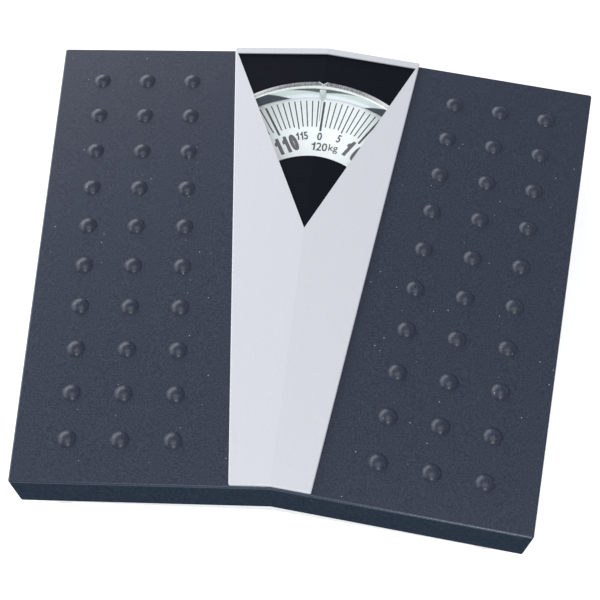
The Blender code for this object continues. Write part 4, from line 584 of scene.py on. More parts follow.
# %% Folded sheet
def folded_sheet(name, outline, lift, flange, wall, bend, material, plain=(), draft=0.0):
    """Half a sheet with its edge pulled down, mirrored and given a thickness.

    The edges whose numbers are in plain stay flat. The draft is how far the pulled-down sides lean in.
    """
    bm = bmesh.new()
    rim = [bm.verts.new((x, y, roof(x, lift))) for x, y in outline]
    sheet = bm.faces.new(rim)
    sheet.normal_update()
    if sheet.normal.z < 0:
        sheet.normal_flip()
    folds = [bm.edges.get((rim[i], rim[i + 1])) for i in range(len(rim) - 1) if i not in plain]
    walls = bmesh.ops.extrude_edge_only(bm, edges=folds)
    lowered = [v for v in walls["geom"] if isinstance(v, bmesh.types.BMVert)]
    for vertex in lowered:
        vertex.co.z -= flange
        vertex.co.x -= draft if vertex.co.x > MERGE else 0.0
    bmesh.ops.bevel(bm, geom=folds, offset=bend, segments=SMOOTH_STEPS, profile=0.5, affect="EDGES")
    bmesh.ops.recalc_face_normals(bm, faces=bm.faces)
    if max(bm.faces, key=lambda f: f.calc_area()).normal.z < 0:
        bmesh.ops.reverse_faces(bm, faces=bm.faces)
    mesh = bpy.data.meshes.new(name)
    bm.to_mesh(mesh)
    bm.free()
    piece = piece_of(mesh, name, material, FOLD_ANGLE)
    mirror = piece.modifiers.new("other half", "MIRROR")
    mirror.merge_threshold = MERGE
    thickness = piece.modifiers.new("sheet thickness", "SOLIDIFY")
    thickness.thickness = wall
    thickness.offset = -1
    thickness.use_even_offset = True
    return piece


def crisp(piece):
    """Keeps the ridge a sharp fold and the flats flat: only the rolled edges are shaded as round."""
    settle(piece)
    mesh = piece.data
    mesh.shade_smooth()
    mesh.set_sharp_from_angle(angle=math.radians(FOLD_ANGLE))
    for edge in mesh.edges:
        if all(abs(mesh.vertices[v].co.x) < MERGE for v in edge.vertices):
            edge.use_edge_sharp = True
    weighted = piece.modifiers.new("flat flats", "WEIGHTED_NORMAL")
    weighted.keep_sharp = True
    weighted.weight = 100
    settle(piece)


# %% [markdown]
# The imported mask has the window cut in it, and the platform has it a little wider. Its rear edge is an arc about
# the dial's centre, its front edge an arc about a point in front of it, and its sides follow the bezel's opening.

# %% Sizes of the window
DIAL_Y = 0.0442
WINDOW_RADIUS = 0.0669
SECTOR_RADIUS = 0.03675
SECTOR_CENTRE_Y = DIAL_Y - 0.0197
OPENING_REAR_HALF = 0.04985
OPENING_REAR_Y = REAR_Y + BEZEL_OVERHANG - 0.00425
OPENING_APEX_Y = OPENING_REAR_Y - 0.1160
OPENING_RUN = OPENING_REAR_Y - OPENING_APEX_Y - OPENING_REAR_HALF * SWEEP
ARC_STEPS = 64
CIRCLE_STEPS = 24


def opening_half(y):
    """Half the width of the bezel's opening at this place."""
    return OPENING_REAR_HALF * (y - OPENING_APEX_Y) / OPENING_RUN


print("opening:", round(1000 * (OPENING_REAR_Y - OPENING_APEX_Y), 1), "mm long")


# %% Window outline
def arc(centre, radius, start, end, steps):
    """Points along an arc, from one angle to another."""
    return [
        (
            centre[0] + radius * math.cos(start + (end - start) * i / steps),
            centre[1] + radius * math.sin(start + (end - start) * i / steps),
        )
        for i in range(steps + 1)
    ]


def meets_side(centre_y, radius, more):
    """Angle at which an arc about (0, centre_y) meets the opening's side moved outwards by more."""
    low, high = 0.0, math.pi / 2
    for _ in range(50):
        middle = (low + high) / 2
        beyond = radius * math.cos(middle) > opening_half(centre_y + radius * math.sin(middle)) + more
        low, high = (middle, high) if beyond else (low, middle)
    return low


def window_outline(more):
    """The window's outline, moved outwards all round by more."""
    rear = meets_side(DIAL_Y, WINDOW_RADIUS + more, more)
    front = meets_side(SECTOR_CENTRE_Y, SECTOR_RADIUS - more, more)
    back_arc = arc((0, DIAL_Y), WINDOW_RADIUS + more, rear, math.pi - rear, ARC_STEPS)
    front_arc = arc((0, SECTOR_CENTRE_Y), SECTOR_RADIUS - more, math.pi - front, front, ARC_STEPS)
    return back_arc + front_arc


print("points on the window's outline:", len(window_outline(0.0)))


# %% Plates and cuts
def slab(name, outlines, low, high, material):
    """A flat plate with holes, from a filled curve."""
    curve = bpy.data.curves.new(name, "CURVE")
    curve.dimensions = "2D"
    curve.fill_mode = "BOTH"
    curve.extrude = (high - low) / 2
    for outline in outlines:
        spline = curve.splines.new("POLY")
        spline.points.add(len(outline) - 1)
        for point, (x, y) in zip(spline.points, outline):
            point.co = (x, y, 0, 1)
        spline.use_cyclic_u = True
    guide = bpy.data.objects.new(name, curve)
    COLLECTION.objects.link(guide)
    bpy.context.view_layer.update()
    graph = bpy.context.evaluated_depsgraph_get()
    mesh = bpy.data.meshes.new_from_object(guide.evaluated_get(graph))
    bpy.data.objects.remove(guide)
    bpy.data.curves.remove(curve)
    bm = bmesh.new()
    bm.from_mesh(mesh)
    bpy.data.meshes.remove(mesh)
    bmesh.ops.remove_doubles(bm, verts=bm.verts, dist=MERGE)
    bmesh.ops.translate(bm, verts=bm.verts, vec=(0, 0, (low + high) / 2))
    return piece_from(bm, name, material)


def cut(piece, tool):
    """Cuts one piece with another, which is then thrown away."""
    knife = piece.modifiers.new("cut", "BOOLEAN")
    knife.object = tool
    knife.solver = "EXACT"
    settle(piece)
    bpy.data.objects.remove(tool)


def circle(x, y, radius):
    """Points round a circle."""
    return arc((x, y), radius, 0, math.tau, CIRCLE_STEPS)[:-1]


def rectangle(x, y, half_width, half_depth):
    """The corners of a rectangle about a point."""
    return [(x + i * half_width, y + k * half_depth) for i, k in ((-1, -1), (1, -1), (1, 1), (-1, 1))]


# %% Platform sheet
GAP = 0.0003
LENS_LAP = 0.0006
PEG_RADIUS = 0.0020
FRONT_PEG = (0.0120, FRONT_Y + 0.0207)
REAR_PEG = (0.0220, OPENING_APEX_Y + 0.0030)
PEG_PLACES = [(side * x, y) for side in (1, -1) for x, y in (FRONT_PEG, REAR_PEG)]
KNIFE_LOW = 0.030
KNIFE_HIGH = 0.060
SKIRT_BELOW = 0.25
FOLD_BELOW = 0.985
platform = folded_sheet(
    "platform_sheet",
    outline,
    0.0,
    SKIRT_DEPTH,
    COVER_WALL,
    COVER_EDGE_RADIUS,
    dark.material,
    draft=SKIRT_DRAFT,
)
holes = [window_outline(LENS_LAP + GAP)] + [circle(x, y, PEG_RADIUS + GAP) for x, y in PEG_PLACES]
cut(platform, slab("holes", holes, KNIFE_LOW, KNIFE_HIGH, dark.material))
crisp(platform)
# Upright faces get the skirt paint with its painted shade, and the rolled edge gets the polished fold paint.
platform.data.materials.append(shade_painted_skirt.material)
platform.data.materials.append(fold_paint.material)
for face in platform.data.polygons:
    flatness = abs(face.normal.z)
    face.material_index = 1 if flatness < SKIRT_BELOW else 2 if flatness < FOLD_BELOW else 0
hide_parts("platform_cover")
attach(platform, "platform")

# %% [markdown]
# Two upright tabs are welded under the sheet. A spring on each holds the platform down on its levers.

# %% Tabs under the sheet
TAB_BACK = 0.0060
TAB_INWARD = 0.0183
TAB_HALF_WIDTH = 0.00075
TAB_HALF_DEPTH = 0.0040
TAB_LOW = 0.03404
TAB_WELD = 0.0004
tab_y = (FRONT_Y + REAR_Y) / 2 + TAB_BACK
tab_x = side_x(tab_y) - TAB_INWARD
tab_outlines = [rectangle(side * tab_x, tab_y, TAB_HALF_WIDTH, TAB_HALF_DEPTH) for side in (1, -1)]
tabs = slab("cover_tabs", tab_outlines, TAB_LOW, roof(tab_x, TAB_WELD - COVER_WALL), dark.material)
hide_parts("platform_cover")
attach(tabs, "platform")
print(tabs.name, "has", len(tabs.data.polygons), "faces")

# %% [markdown]
# ## Springs
#
# A spring is hooked on two pieces that move apart, so a rigid one would be left behind by one of them. A copy of
# each packed spring, with its loose triangles merged, stands in for it. The main spring is made a little shorter,
# which leaves room for the hanger when the zero screw lowers it.

# %% Springs
MAIN_SPRING_SHARE = 0.942


def stretching_spring(node, axis, share=1.0):
    """A copy of a packed spring, drawn in along an axis (0, 1 or 2) to a share of its length."""
    bm = bmesh.new()
    bm.from_mesh(frame["nodes"][node].data)
    bmesh.ops.remove_doubles(bm, verts=bm.verts, dist=MERGE)
    low, high = (Vector(corner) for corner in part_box(node))
    for vertex in bm.verts:
        vertex.co[axis] = low[axis] + (vertex.co[axis] - low[axis]) * share
    first_end = (low + high) / 2
    last_end = first_end.copy()
    first_end[axis], last_end[axis] = low[axis], high[axis]
    spring = piece_from(bm, f"{node}_wire", spring_steel.material, sharp=60.0)
    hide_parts(node)
    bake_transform(spring)
    print(spring.name, "has", len(spring.data.polygons), "faces")


stretching_spring("hold_down_spring_right", 2)
stretching_spring("hold_down_spring_left", 2)
stretching_spring("rack_return_spring", 1)
stretching_spring("main_spring", 2, MAIN_SPRING_SHARE)

# %% [markdown]
# ## Domes
#
# Three columns by ten rows of small domes on each half stop a wet foot from sliding. They repeat, so a node tree
# makes them: the dome is the top of a ball that is sunk into the sheet, and it is set on each of sixty points. The
# tree's inputs are the ball's radius and how far its centre lies from the sheet. Both follow from the radius and
# the height that a dome should show.

# %% Where the domes stand
DOME_COLUMNS = 3
DOME_ROWS = 10
DOME_RADIUS = 0.0046
DOME_HEIGHT = 0.0024
DOME_COLUMN_DROP = 0.00192
BEZEL_REAR_HALF = 0.05175
BEZEL_FRONT_HALF = 0.01905
BEZEL_LEAN = (BEZEL_REAR_HALF - BEZEL_FRONT_HALF) / PLATFORM_DEPTH
DOMES_FROM_FRONT = 0.0192
DOMES_FROM_REAR = 0.0278
DOMES_FROM_BEZEL = 0.02685
DOMES_FROM_SIDE = 0.02595
first_y = FRONT_Y + DOMES_FROM_FRONT
first_x = BEZEL_FRONT_HALF + (first_y - FRONT_Y) * BEZEL_LEAN + DOMES_FROM_BEZEL
column_step = (side_x(first_y) - DOMES_FROM_SIDE - first_x) / (DOME_COLUMNS - 1)
row_step = (REAR_Y - DOMES_FROM_REAR - first_y) / (DOME_ROWS - 1)
row_splay = row_step * (SIDE_LEAN + BEZEL_LEAN) / 2

dome_points = bmesh.new()
lean_of = []
for side in (1, -1):
    for column in range(DOME_COLUMNS):
        for row in range(DOME_ROWS):
            x = first_x + column * column_step + row * row_splay
            y = first_y + row * row_step - column * DOME_COLUMN_DROP
            dome_points.verts.new((side * x, y, roof(x)))
            lean_of.append(side * math.atan(ROOF))
dome_mesh = bpy.data.meshes.new("dome_points")
dome_points.to_mesh(dome_mesh)
dome_points.free()
lean = dome_mesh.attributes.new("lean", "FLOAT", "POINT")
lean.data.foreach_set("value", lean_of)
print("domes:", len(dome_mesh.vertices))


# %% Node tree helper
class Tree:
    """A Geometry Nodes tree with named inputs, built in a few short calls."""

    def __init__(self, name):
        self.group = bpy.data.node_groups.new(name, "GeometryNodeTree")
        self.group.interface.new_socket("Geometry", in_out="INPUT", socket_type="NodeSocketGeometry")
        self.group.interface.new_socket("Geometry", in_out="OUTPUT", socket_type="NodeSocketGeometry")
        self.start = None
        self.identifiers = {}

    def input(self, name):
        """Adds a named number to the tree's inputs."""
        socket = self.group.interface.new_socket(name, in_out="INPUT", socket_type="NodeSocketFloat")
        self.identifiers[name] = socket.identifier

    def node(self, kind, **settings):
        """Adds a node, with settings that are properties of it."""
        node = self.group.nodes.new(kind)
        for key, value in settings.items():
            setattr(node, key, value)
        return node

    def link(self, output, target):
        """Links an output to the socket of another node."""
        self.group.links.new(output, target)

    def values(self):
        """The tree's inputs, as outputs to link from."""
        if self.start is None:
            self.start = self.node("NodeGroupInput")
        return self.start.outputs

    def finish(self, geometry, material):
        """Realises the instances, sets the material and closes the tree."""
        realize = self.node("GeometryNodeRealizeInstances")
        paint = self.node("GeometryNodeSetMaterial")
        paint.inputs["Material"].default_value = material
        end = self.node("NodeGroupOutput")
        self.link(geometry, realize.inputs["Geometry"])
        self.link(realize.outputs["Geometry"], paint.inputs["Geometry"])
        self.link(paint.outputs["Geometry"], end.inputs["Geometry"])

    def run_on(self, mesh, name, material, **values):
        """Runs the tree on a mesh and gives back a plain object."""
        piece = bpy.data.objects.new(name, mesh)
        COLLECTION.objects.link(piece)
        modifier = piece.modifiers.new(name, "NODES")
        modifier.node_group = self.group
        for key, value in values.items():
            modifier[self.identifiers[key]] = value
        settle(piece)
        piece.data.materials.clear()
        piece.data.materials.append(material)
        return piece


# %% Domes
DOME_SEGMENTS = 40
DOME_RINGS = 44
DOME_ROOT = -0.00035
dome_tree = Tree("domes")
dome_tree.input("Ball radius")
dome_tree.input("Sink")
inputs = dome_tree.values()
ball = dome_tree.node("GeometryNodeMeshUVSphere")
ball.inputs["Segments"].default_value = DOME_SEGMENTS
ball.inputs["Rings"].default_value = DOME_RINGS
drop = dome_tree.node("ShaderNodeCombineXYZ")
lowered_ball = dome_tree.node("GeometryNodeTransform")
height_of = dome_tree.node("GeometryNodeInputPosition")
split = dome_tree.node("ShaderNodeSeparateXYZ")
below = dome_tree.node("FunctionNodeCompare", data_type="FLOAT", operation="LESS_THAN")
below.inputs["B"].default_value = DOME_ROOT
trim = dome_tree.node("GeometryNodeDeleteGeometry", domain="FACE")
smooth_cap = dome_tree.node("GeometryNodeSetShadeSmooth")
lean_value = dome_tree.node("GeometryNodeInputNamedAttribute", data_type="FLOAT")
lean_value.inputs["Name"].default_value = "lean"
lean_turn = dome_tree.node("ShaderNodeCombineXYZ")
to_points = dome_tree.node("GeometryNodeInstanceOnPoints")
dome_tree.link(inputs["Ball radius"], ball.inputs["Radius"])
dome_tree.link(inputs["Sink"], drop.inputs["Z"])
dome_tree.link(ball.outputs["Mesh"], lowered_ball.inputs["Geometry"])
dome_tree.link(drop.outputs["Vector"], lowered_ball.inputs["Translation"])
dome_tree.link(height_of.outputs["Position"], split.inputs["Vector"])
dome_tree.link(split.outputs["Z"], below.inputs["A"])
dome_tree.link(lowered_ball.outputs["Geometry"], trim.inputs["Geometry"])
dome_tree.link(below.outputs["Result"], trim.inputs["Selection"])
dome_tree.link(trim.outputs["Geometry"], smooth_cap.inputs["Geometry"])
dome_tree.link(inputs["Geometry"], to_points.inputs["Points"])
dome_tree.link(smooth_cap.outputs["Geometry"], to_points.inputs["Instance"])
dome_tree.link(lean_value.outputs["Attribute"], lean_turn.inputs["Y"])
dome_tree.link(lean_turn.outputs["Vector"], to_points.inputs["Rotation"])
dome_tree.finish(to_points.outputs["Instances"], dark.material)

ball_radius = (DOME_RADIUS**2 + DOME_HEIGHT**2) / (2 * DOME_HEIGHT)
cap = {"Ball radius": ball_radius, "Sink": DOME_HEIGHT - ball_radius}
domes = dome_tree.run_on(dome_mesh, "platform_domes", dark.material, **cap)
domes.data.shade_smooth()
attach(domes, "platform")

# %% [markdown]
# ## Bezel
#
# The bezel is one creased sheet that stands a little proud of the platform, with a thin shadow gap round it. Its
# triangular opening has sharp edges, and its outer edge is rolled, which gives the bright lines along its sides.

# %% Bezel sheet
BEZEL_PROUD = 0.0020
BEZEL_WALL = 0.0007
BEZEL_SETBACK = 0.0010
BEZEL_CORNER_RADIUS = 0.0008
BEZEL_EDGE_RADIUS = 0.0006
front = FRONT_Y + BEZEL_SETBACK
rear = REAR_Y + BEZEL_OVERHANG
bezel_corners = [
    (0, front),
    (BEZEL_FRONT_HALF, front - BEZEL_FRONT_HALF * SWEEP),
    (BEZEL_REAR_HALF, rear - BEZEL_REAR_HALF * SWEEP),
    (0, rear),
    (0, OPENING_REAR_Y),
    (OPENING_REAR_HALF, OPENING_REAR_Y - OPENING_REAR_HALF * SWEEP),
    (0, OPENING_APEX_Y),
]
bezel_outline = rounded(bezel_corners, BEZEL_CORNER_RADIUS, skip=(0, 3, 4, 5, 6))
crease = len(bezel_outline) - 4
bezel = folded_sheet(
    "bezel_sheet",
    bezel_outline,
    BEZEL_PROUD,
    BEZEL_PROUD - GAP,
    BEZEL_WALL,
    BEZEL_EDGE_RADIUS,
    silver.material,
    plain=(crease, crease + 1, crease + 2),
)
crisp(bezel)
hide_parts("centre_bezel")
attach(bezel, "platform")

# %% [markdown]
# Four pegs under the bezel go through the platform, where push nuts grip them.

# %% Pegs of the bezel
PEG_BELOW = 0.0030
for peg_number, (x, y) in enumerate(PEG_PLACES, start=1):
    low, high = roof(x, -COVER_WALL - PEG_BELOW), roof(x, BEZEL_PROUD - BEZEL_WALL / 2)
    peg = slab(f"bezel_peg_{peg_number}", [circle(x, y, PEG_RADIUS)], low, high, silver.material)
    print(peg.name, "is", round(1000 * (high - low), 1), "mm long")
    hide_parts("centre_bezel")
    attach(peg, "platform")

# %% [markdown]
# ## Window and index
#
# The window is one moulding: a clear plate whose wall goes down along the rear arc to the dial. A ribbed lip stands
# up inside the mask's edge, a step before it is painted near white as a highlight, and the wall below carries a
# painted reflection of the dial. That these surfaces differ is what makes it read as clear plastic, so each is a
# piece with its own finish. The window casts no shadow here, because light that goes through clear plastic needs
# more samples than a small picture has.

# %% Sizes of the window moulding
LENS_SETBACK = 0.0018
LENS_THICKNESS = 0.0012
LENS_TOP = RIDGE_HEIGHT - LENS_SETBACK
LENS_LOW = LENS_TOP - LENS_THICKNESS
WALL_DEPTH = 0.0082
WALL_THICKNESS = 0.0012
WALL_STEPS = 96
MASK_THICKNESS = 0.0007
MASK_TOP = GAP + MASK_THICKNESS
LIP_INNER = WINDOW_RADIUS - 0.00135
LIP_OUTER = WINDOW_RADIUS - 0.00005
LIP_HEIGHT = 0.0003
STEP_INNER = LIP_INNER - 0.0009
STEP_HEIGHT = 0.0014
wall_outer = WINDOW_RADIUS - GAP
wall_inner = wall_outer - WALL_THICKNESS
print("window plate:", round(1000 * LENS_LOW, 1), "to", round(1000 * LENS_TOP, 1), "mm high")


# %% Parts of the window
def clear_piece(piece, replaced):
    piece.visible_shadow = False
    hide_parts(replaced)
    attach(piece, "platform")


def arc_wall(name, inner, outer, low_at, high_at, material, margin=0.0):
    """A ring's part along the window's rear arc, between two heights that follow rules of x."""
    end = meets_side(DIAL_Y, outer, -margin)
    bm = bmesh.new()
    rows = []
    for i in range(WALL_STEPS + 1):
        angle = end + (math.pi - 2 * end) * i / WALL_STEPS
        row = []
        for radius, height_at in ((inner, low_at), (outer, low_at), (outer, high_at), (inner, high_at)):
            x = radius * math.cos(angle)
            row.append(bm.verts.new((x, DIAL_Y + radius * math.sin(angle), height_at(x))))
        rows.append(row)
    for before, after in zip(rows, rows[1:]):
        for k in range(4):
            bm.faces.new((before[k], before[(k + 1) % 4], after[(k + 1) % 4], after[k]))
    bm.faces.new(rows[0])
    bm.faces.new(reversed(rows[-1]))
    return piece_from(bm, name, material)


def level(height):
    """The rule of one even height."""
    return lambda x: height


def along_roof(lift):
    """The rule of a height that slopes as the platform does."""
    return lambda x: roof(x, lift)


# %% Window plate, wall, step and lip
plate = slab("window_plate", [window_outline(LENS_LAP)], LENS_LOW, LENS_TOP, clear.material)
wall = arc_wall(
    "window_wall",
    wall_inner,
    wall_outer,
    level(LENS_LOW - WALL_DEPTH),
    level(LENS_LOW),
    wall_tint.material,
    WALL_THICKNESS,
)
step_top = along_roof(STEP_HEIGHT - LENS_SETBACK)
# The step's near-white finish is partly a painted highlight.
step = arc_wall("window_step", STEP_INNER, LIP_INNER, level(LENS_TOP), step_top, step_frost_and_highlight.material)
lip_top = along_roof(MASK_TOP + LIP_HEIGHT)
lip = arc_wall("window_lip", LIP_INNER, LIP_OUTER, level(LENS_TOP), lip_top, ribbed.material)
for piece in (plate, wall, step, lip):
    clear_piece(piece, "dial_lens")
print("wall:", round(1000 * wall_inner, 1), "to", round(1000 * wall_outer, 1), "mm from the dial's centre")

# %% [markdown]
# The index is a block on the wall's middle, drawn to a point over the ticks. A fine grey line goes on from its
# point, and behind it the lip is notched like a V, with the dark mask showing between its pale legs.

# %% Index
INDEX_HALF = 0.00175
INDEX_HIGH = LENS_LOW - GAP
INDEX_DEPTH = 0.0060
INDEX_POINT = 0.0036
INDEX_SHOULDER = 0.0010
INDEX_LINE_HALF = 0.00014
INDEX_LINE_REACH = 0.0215
INDEX_LINE_DEPTH = 0.0010
NOTCH_HALF = 0.0023
NOTCH_LEG = 0.0004
NOTCH_DEPTH = 0.0020
LEGS_PROUD = 0.0002
NOTCH_PROUD = 0.0001
index_rear = wall_inner + DIAL_Y - GAP
index_tip = index_rear - INDEX_POINT
index_outline = [
    (-INDEX_HALF, index_rear),
    (INDEX_HALF, index_rear),
    (INDEX_HALF, index_rear - INDEX_SHOULDER),
    (INDEX_LINE_HALF, index_tip),
    (-INDEX_LINE_HALF, index_tip),
    (-INDEX_HALF, index_rear - INDEX_SHOULDER),
]
notch_rear = DIAL_Y + LIP_OUTER
notch_tip = notch_rear - NOTCH_DEPTH
notch_top = RIDGE_HEIGHT + MASK_TOP + LIP_HEIGHT
leg_outline = [
    (-NOTCH_HALF - NOTCH_LEG, notch_rear),
    (-NOTCH_HALF, notch_rear),
    (0, notch_tip + NOTCH_LEG),
    (NOTCH_HALF, notch_rear),
    (NOTCH_HALF + NOTCH_LEG, notch_rear),
    (NOTCH_LEG / 2, notch_tip),
    (-NOTCH_LEG / 2, notch_tip),
]
notch_outline = [
    (-NOTCH_HALF + GAP, notch_rear),
    (0, notch_tip + NOTCH_LEG + GAP),
    (NOTCH_HALF - GAP, notch_rear),
]
line_outline = [
    (-INDEX_LINE_HALF, index_tip - GAP),
    (INDEX_LINE_HALF, index_tip - GAP),
    (INDEX_LINE_HALF, index_rear - INDEX_LINE_REACH),
    (-INDEX_LINE_HALF, index_rear - INDEX_LINE_REACH),
]

# Each part's name, outline, lower and upper height, and finish.
INDEX_PARTS = (
    ("index_block", index_outline, INDEX_HIGH - INDEX_DEPTH, INDEX_HIGH, index_pale),
    ("index_cap", leg_outline, LENS_TOP, notch_top + LEGS_PROUD, index_pale),
    ("index_notch", notch_outline, LENS_TOP, notch_top + NOTCH_PROUD, mask_black),
    ("index_line", line_outline, INDEX_HIGH - INDEX_LINE_DEPTH, INDEX_HIGH, index_grey),
)
for name, part_outline, low, high, finish in INDEX_PARTS:
    clear_piece(slab(name, [part_outline], low, high, finish.material), "dial_index")
print("parts of the index:", len(INDEX_PARTS))

# %% [markdown]
# ## Dial print
#
# The dial counts 120 kilograms in one turn, so one kilogram is three degrees. As in the photograph, it stands a
# third of a kilogram short of zero. The ticks repeat round the disc: one node tree lays a thin bar on each point,
# and it runs three times, for the one, five and ten kilogram ticks. The bars are almost flat and lie on the disc,
# as print does.

# %% Angles on the dial
DIAL_TOP = 0.0355
INK_LOW = DIAL_TOP - 0.00002
INK_HIGH = DIAL_TOP + 0.00004
DIAL_TURN = math.radians(-1.0)
KILOGRAMS = 120


def dial_angle(kilograms):
    """Turn of a mark about +Z, counted from the index: the numbers grow clockwise."""
    return DIAL_TURN - math.tau * kilograms / KILOGRAMS


def tick_points(marks, outer, length):
    """A point in the middle of each tick, which carries the tick's turn."""
    bm = bmesh.new()
    radius = outer - length / 2
    for mark in marks:
        angle = dial_angle(mark) + math.pi / 2
        bm.verts.new((radius * math.cos(angle), DIAL_Y + radius * math.sin(angle), (INK_LOW + INK_HIGH) / 2))
    mesh = bpy.data.meshes.new("tick_points")
    bm.to_mesh(mesh)
    bm.free()
    turn = mesh.attributes.new("turn", "FLOAT", "POINT")
    turn.data.foreach_set("value", [dial_angle(mark) for mark in marks])
    return mesh


print("one kilogram is", round(math.degrees(dial_angle(0) - dial_angle(1)), 3), "degrees")

# %% Tick tree
tick_tree = Tree("dial_ticks")
tick_tree.input("Width")
tick_tree.input("Length")
inputs = tick_tree.values()
bar = tick_tree.node("GeometryNodeMeshCube")
bar_size = tick_tree.node("ShaderNodeCombineXYZ")
bar_size.inputs["Z"].default_value = INK_HIGH - INK_LOW
turn_value = tick_tree.node("GeometryNodeInputNamedAttribute", data_type="FLOAT")
turn_value.inputs["Name"].default_value = "turn"
turn_vector = tick_tree.node("ShaderNodeCombineXYZ")
bars = tick_tree.node("GeometryNodeInstanceOnPoints")
tick_tree.link(inputs["Width"], bar_size.inputs["X"])
tick_tree.link(inputs["Length"], bar_size.inputs["Y"])
tick_tree.link(bar_size.outputs["Vector"], bar.inputs["Size"])
tick_tree.link(inputs["Geometry"], bars.inputs["Points"])
tick_tree.link(bar.outputs["Mesh"], bars.inputs["Instance"])
tick_tree.link(turn_value.outputs["Attribute"], turn_vector.inputs["Z"])
tick_tree.link(turn_vector.outputs["Vector"], bars.inputs["Rotation"])
tick_tree.finish(bars.outputs["Instances"], print_black.material)
print(tick_tree.group.name, "has", len(tick_tree.group.nodes), "nodes")

# %% Ticks
# Each kind's name, marks, width, outer radius and length.
TICKS = (
    ("ticks_1_kg", [k for k in range(KILOGRAMS) if k % 5], 0.00066, 0.0642, 0.0179),
    ("ticks_5_kg", [k for k in range(KILOGRAMS) if k % 10 == 5], 0.00070, 0.0642, 0.0194),
    ("ticks_10_kg", [k for k in range(KILOGRAMS) if k % 10 == 0], 0.00118, 0.0638, 0.0204),
)
for name, marks, width, outer, length in TICKS:
    points = tick_points(marks, outer, length)
    ticks = tick_tree.run_on(points, name, print_black.material, Width=width, Length=length)
    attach(ticks, "dial")

# %% [markdown]
# ## Numerals
#
# Each number is a text curve that is made a mesh, set upright at its radius and turned round the dial. The tens
# are tall, narrow and bold, the fives small. Text is wider than the dial's narrow figures, so it is squeezed to
# the width that each number should have, and a small offset thickens its strokes.

# %% Outline of a text
FIGURE_ONE = (
    (0.62, 0),
    (1, 0),
    (1, 1),
    (0.70, 1),
    (0.58, 0.88),
    (0.34, 0.79),
    (0, 0.75),
    (0, 0.64),
    (0.62, 0.66),
)


def text_outline(text):
    """The flat curve of a text. The font's own figure 1 is a bare bar, so a lone 1 is drawn with its flag."""
    if text == "1":
        curve = bpy.data.curves.new(text, "CURVE")
        spline = curve.splines.new("POLY")
        spline.points.add(len(FIGURE_ONE) - 1)
        for point, (x, y) in zip(spline.points, FIGURE_ONE):
            point.co = (x, y, 0, 1)
        spline.use_cyclic_u = True
        return curve
    curve = bpy.data.curves.new(text, "FONT")
    curve.body = text
    curve.size = 1.0
    guide = bpy.data.objects.new(text, curve)
    COLLECTION.objects.link(guide)
    bpy.context.view_layer.update()
    graph = bpy.context.evaluated_depsgraph_get()
    outline = guide.evaluated_get(graph).to_curve(graph).copy()
    bpy.data.objects.remove(guide)
    bpy.data.curves.remove(curve)
    return outline


# %% Mesh of a text
CURVE_STEPS = 4


def number(text, radius, place, turn, height, width, boldness, aside=0.0):
    """The mesh of a text, squeezed to a size, at a radius and an angle of the dial, and turned about +Z."""
    outline = text_outline(text)
    points = [p.co for spline in outline.splines for p in (*spline.bezier_points, *spline.points)]
    left, right = min(p[0] for p in points), max(p[0] for p in points)
    low, high = min(p[1] for p in points), max(p[1] for p in points)
    squeeze = ((width - 2 * boldness) / (right - left), (height - 2 * boldness) / (high - low), 1, 1)
    centre = Matrix.Translation((-(left + right) / 2, -(low + high) / 2, 0))
    outline.transform(Matrix.Diagonal(squeeze) @ centre)
    outline.dimensions = "2D"
    outline.fill_mode = "BOTH"
    outline.offset = boldness
    outline.resolution_u = CURVE_STEPS
    guide = bpy.data.objects.new(text, outline)
    COLLECTION.objects.link(guide)
    bpy.context.view_layer.update()
    graph = bpy.context.evaluated_depsgraph_get()
    mesh = bpy.data.meshes.new_from_object(guide.evaluated_get(graph))
    bpy.data.objects.remove(guide)
    bpy.data.curves.remove(outline)
    where = Vector((-radius * math.sin(place), DIAL_Y + radius * math.cos(place), INK_HIGH))
    mesh.transform(Matrix.Translation(where) @ Matrix.Rotation(turn, 4, "Z") @ Matrix.Translation((aside, 0, 0)))
    bm = bmesh.new()
    bm.from_mesh(mesh)
    bpy.data.meshes.remove(mesh)
    bmesh.ops.remove_doubles(bm, verts=bm.verts, dist=MERGE)
    for face in bm.faces:
        face.normal_update()
        if face.normal.z < 0:
            face.normal_flip()
    faces = bm.faces[:]
    grown = bmesh.ops.extrude_face_region(bm, geom=faces, use_keep_orig=True)
    deeper = [v for v in grown["geom"] if isinstance(v, bmesh.types.BMVert)]
    bmesh.ops.translate(bm, verts=deeper, vec=(0, 0, INK_LOW - INK_HIGH))
    bmesh.ops.recalc_face_normals(bm, faces=bm.faces)
    mesh = bpy.data.meshes.new("number")
    bm.to_mesh(mesh)
    bm.free()
    return mesh


def in_order(elements, place_of):
    """Sorts a mesh's points or faces by their places, because an extrusion leaves them in any order."""
    rank = {element: i for i, element in enumerate(sorted(elements, key=place_of))}
    elements.sort(key=rank.get)


def join(meshes, name, material):
    """One piece of many meshes."""
    bm = bmesh.new()
    for mesh in meshes:
        bm.from_mesh(mesh)
        bpy.data.meshes.remove(mesh)
    in_order(bm.verts, lambda vertex: tuple(vertex.co))
    in_order(bm.faces, lambda face: tuple(face.calc_center_median()))
    mesh = bpy.data.meshes.new(name)
    bm.to_mesh(mesh)
    bm.free()
    piece = piece_of(mesh, name, material)
    print(name, "has", len(mesh.polygons), "faces")
    return piece


# %% Rows of digits
ONE_WIDTH = 0.72
DIGIT_SHARE = 0.95


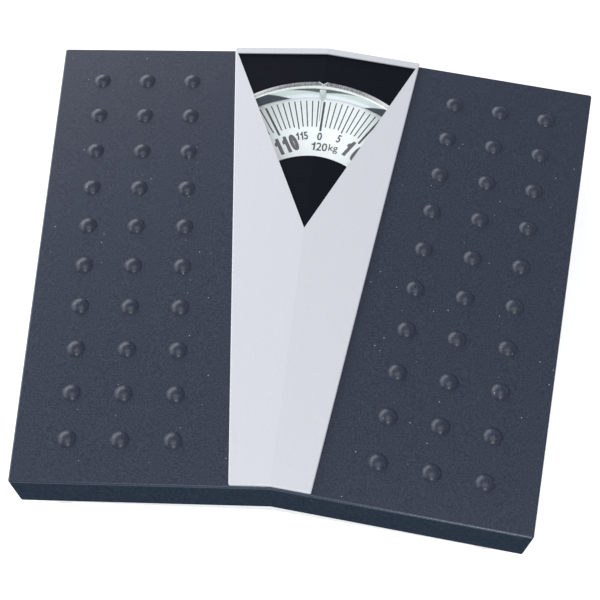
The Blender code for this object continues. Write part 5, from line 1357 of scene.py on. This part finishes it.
def digits(text, radius, place, height, pitch, boldness, wide=None):
    """A number's meshes, digit by digit at an even pitch. The figure 1 is narrower than the others."""
    meshes = []
    for i, digit in enumerate(text):
        aside = (i - (len(text) - 1) / 2) * pitch
        width = (wide or DIGIT_SHARE * pitch) * (ONE_WIDTH if digit == "1" else 1.0)
        meshes.append(number(digit, radius, place, place, height, width, boldness, aside))
    return meshes


def every_ten(start, radius, past, height, pitch, boldness, wide=None):
    """Every tenth number from a start.

    The radius, the degrees past the number's tick and the pitch are pairs. The second value says how far each
    further digit draws the number inwards, moves it on, and closes it up.
    """
    meshes = []
    for kilograms in range(start, KILOGRAMS, 10):
        text = str(kilograms)
        extra = len(text) - len(str(start))
        place = dial_angle(kilograms) - math.radians(past[0] + past[1] * extra)
        drawn_in = radius[0] - radius[1] * extra
        closed_up = pitch[0] - pitch[1] * extra
        meshes += digits(text, drawn_in, place, height, closed_up, boldness, wide)
    return meshes


# %% Numbers of the dial
SMALL_BOLDNESS = 0.00016
BIG_BOLDNESS = 0.00065
small = every_ten(
    5,
    radius=(0.0410, 0.00045),
    past=(0.25, 0.4),
    height=0.0053,
    pitch=(0.0023, 0.0),
    boldness=SMALL_BOLDNESS,
)
bold = every_ten(
    10,
    radius=(0.0376, 0.0014),
    past=(0.52, 1.13),
    height=0.0112,
    pitch=(0.0060, 0.0016),
    boldness=BIG_BOLDNESS,
    wide=0.0042,
)
zero_place = dial_angle(0) - math.radians(0.2)
small += digits("0", radius=0.0398, place=zero_place, height=0.0053, pitch=0.0028, boldness=SMALL_BOLDNESS)
small += digits("120", radius=0.0329, place=math.radians(-1.95), height=0.0054, pitch=0.0031, boldness=0.00010)
unit = number(
    "kg",
    radius=0.0334,
    place=math.radians(-15.6),
    turn=math.radians(-3.0),
    height=0.0060,
    width=0.0050,
    boldness=0.00006,
)
small.append(unit)

# Each print's meshes, name and finish.
PRINTS = (
    (small, "dial_numbers_small", print_black),
    (bold, "dial_numbers_bold", print_grey),
)
for meshes, name, finish in PRINTS:
    numbers = join(meshes, name, finish.material)
    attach(numbers, "dial")
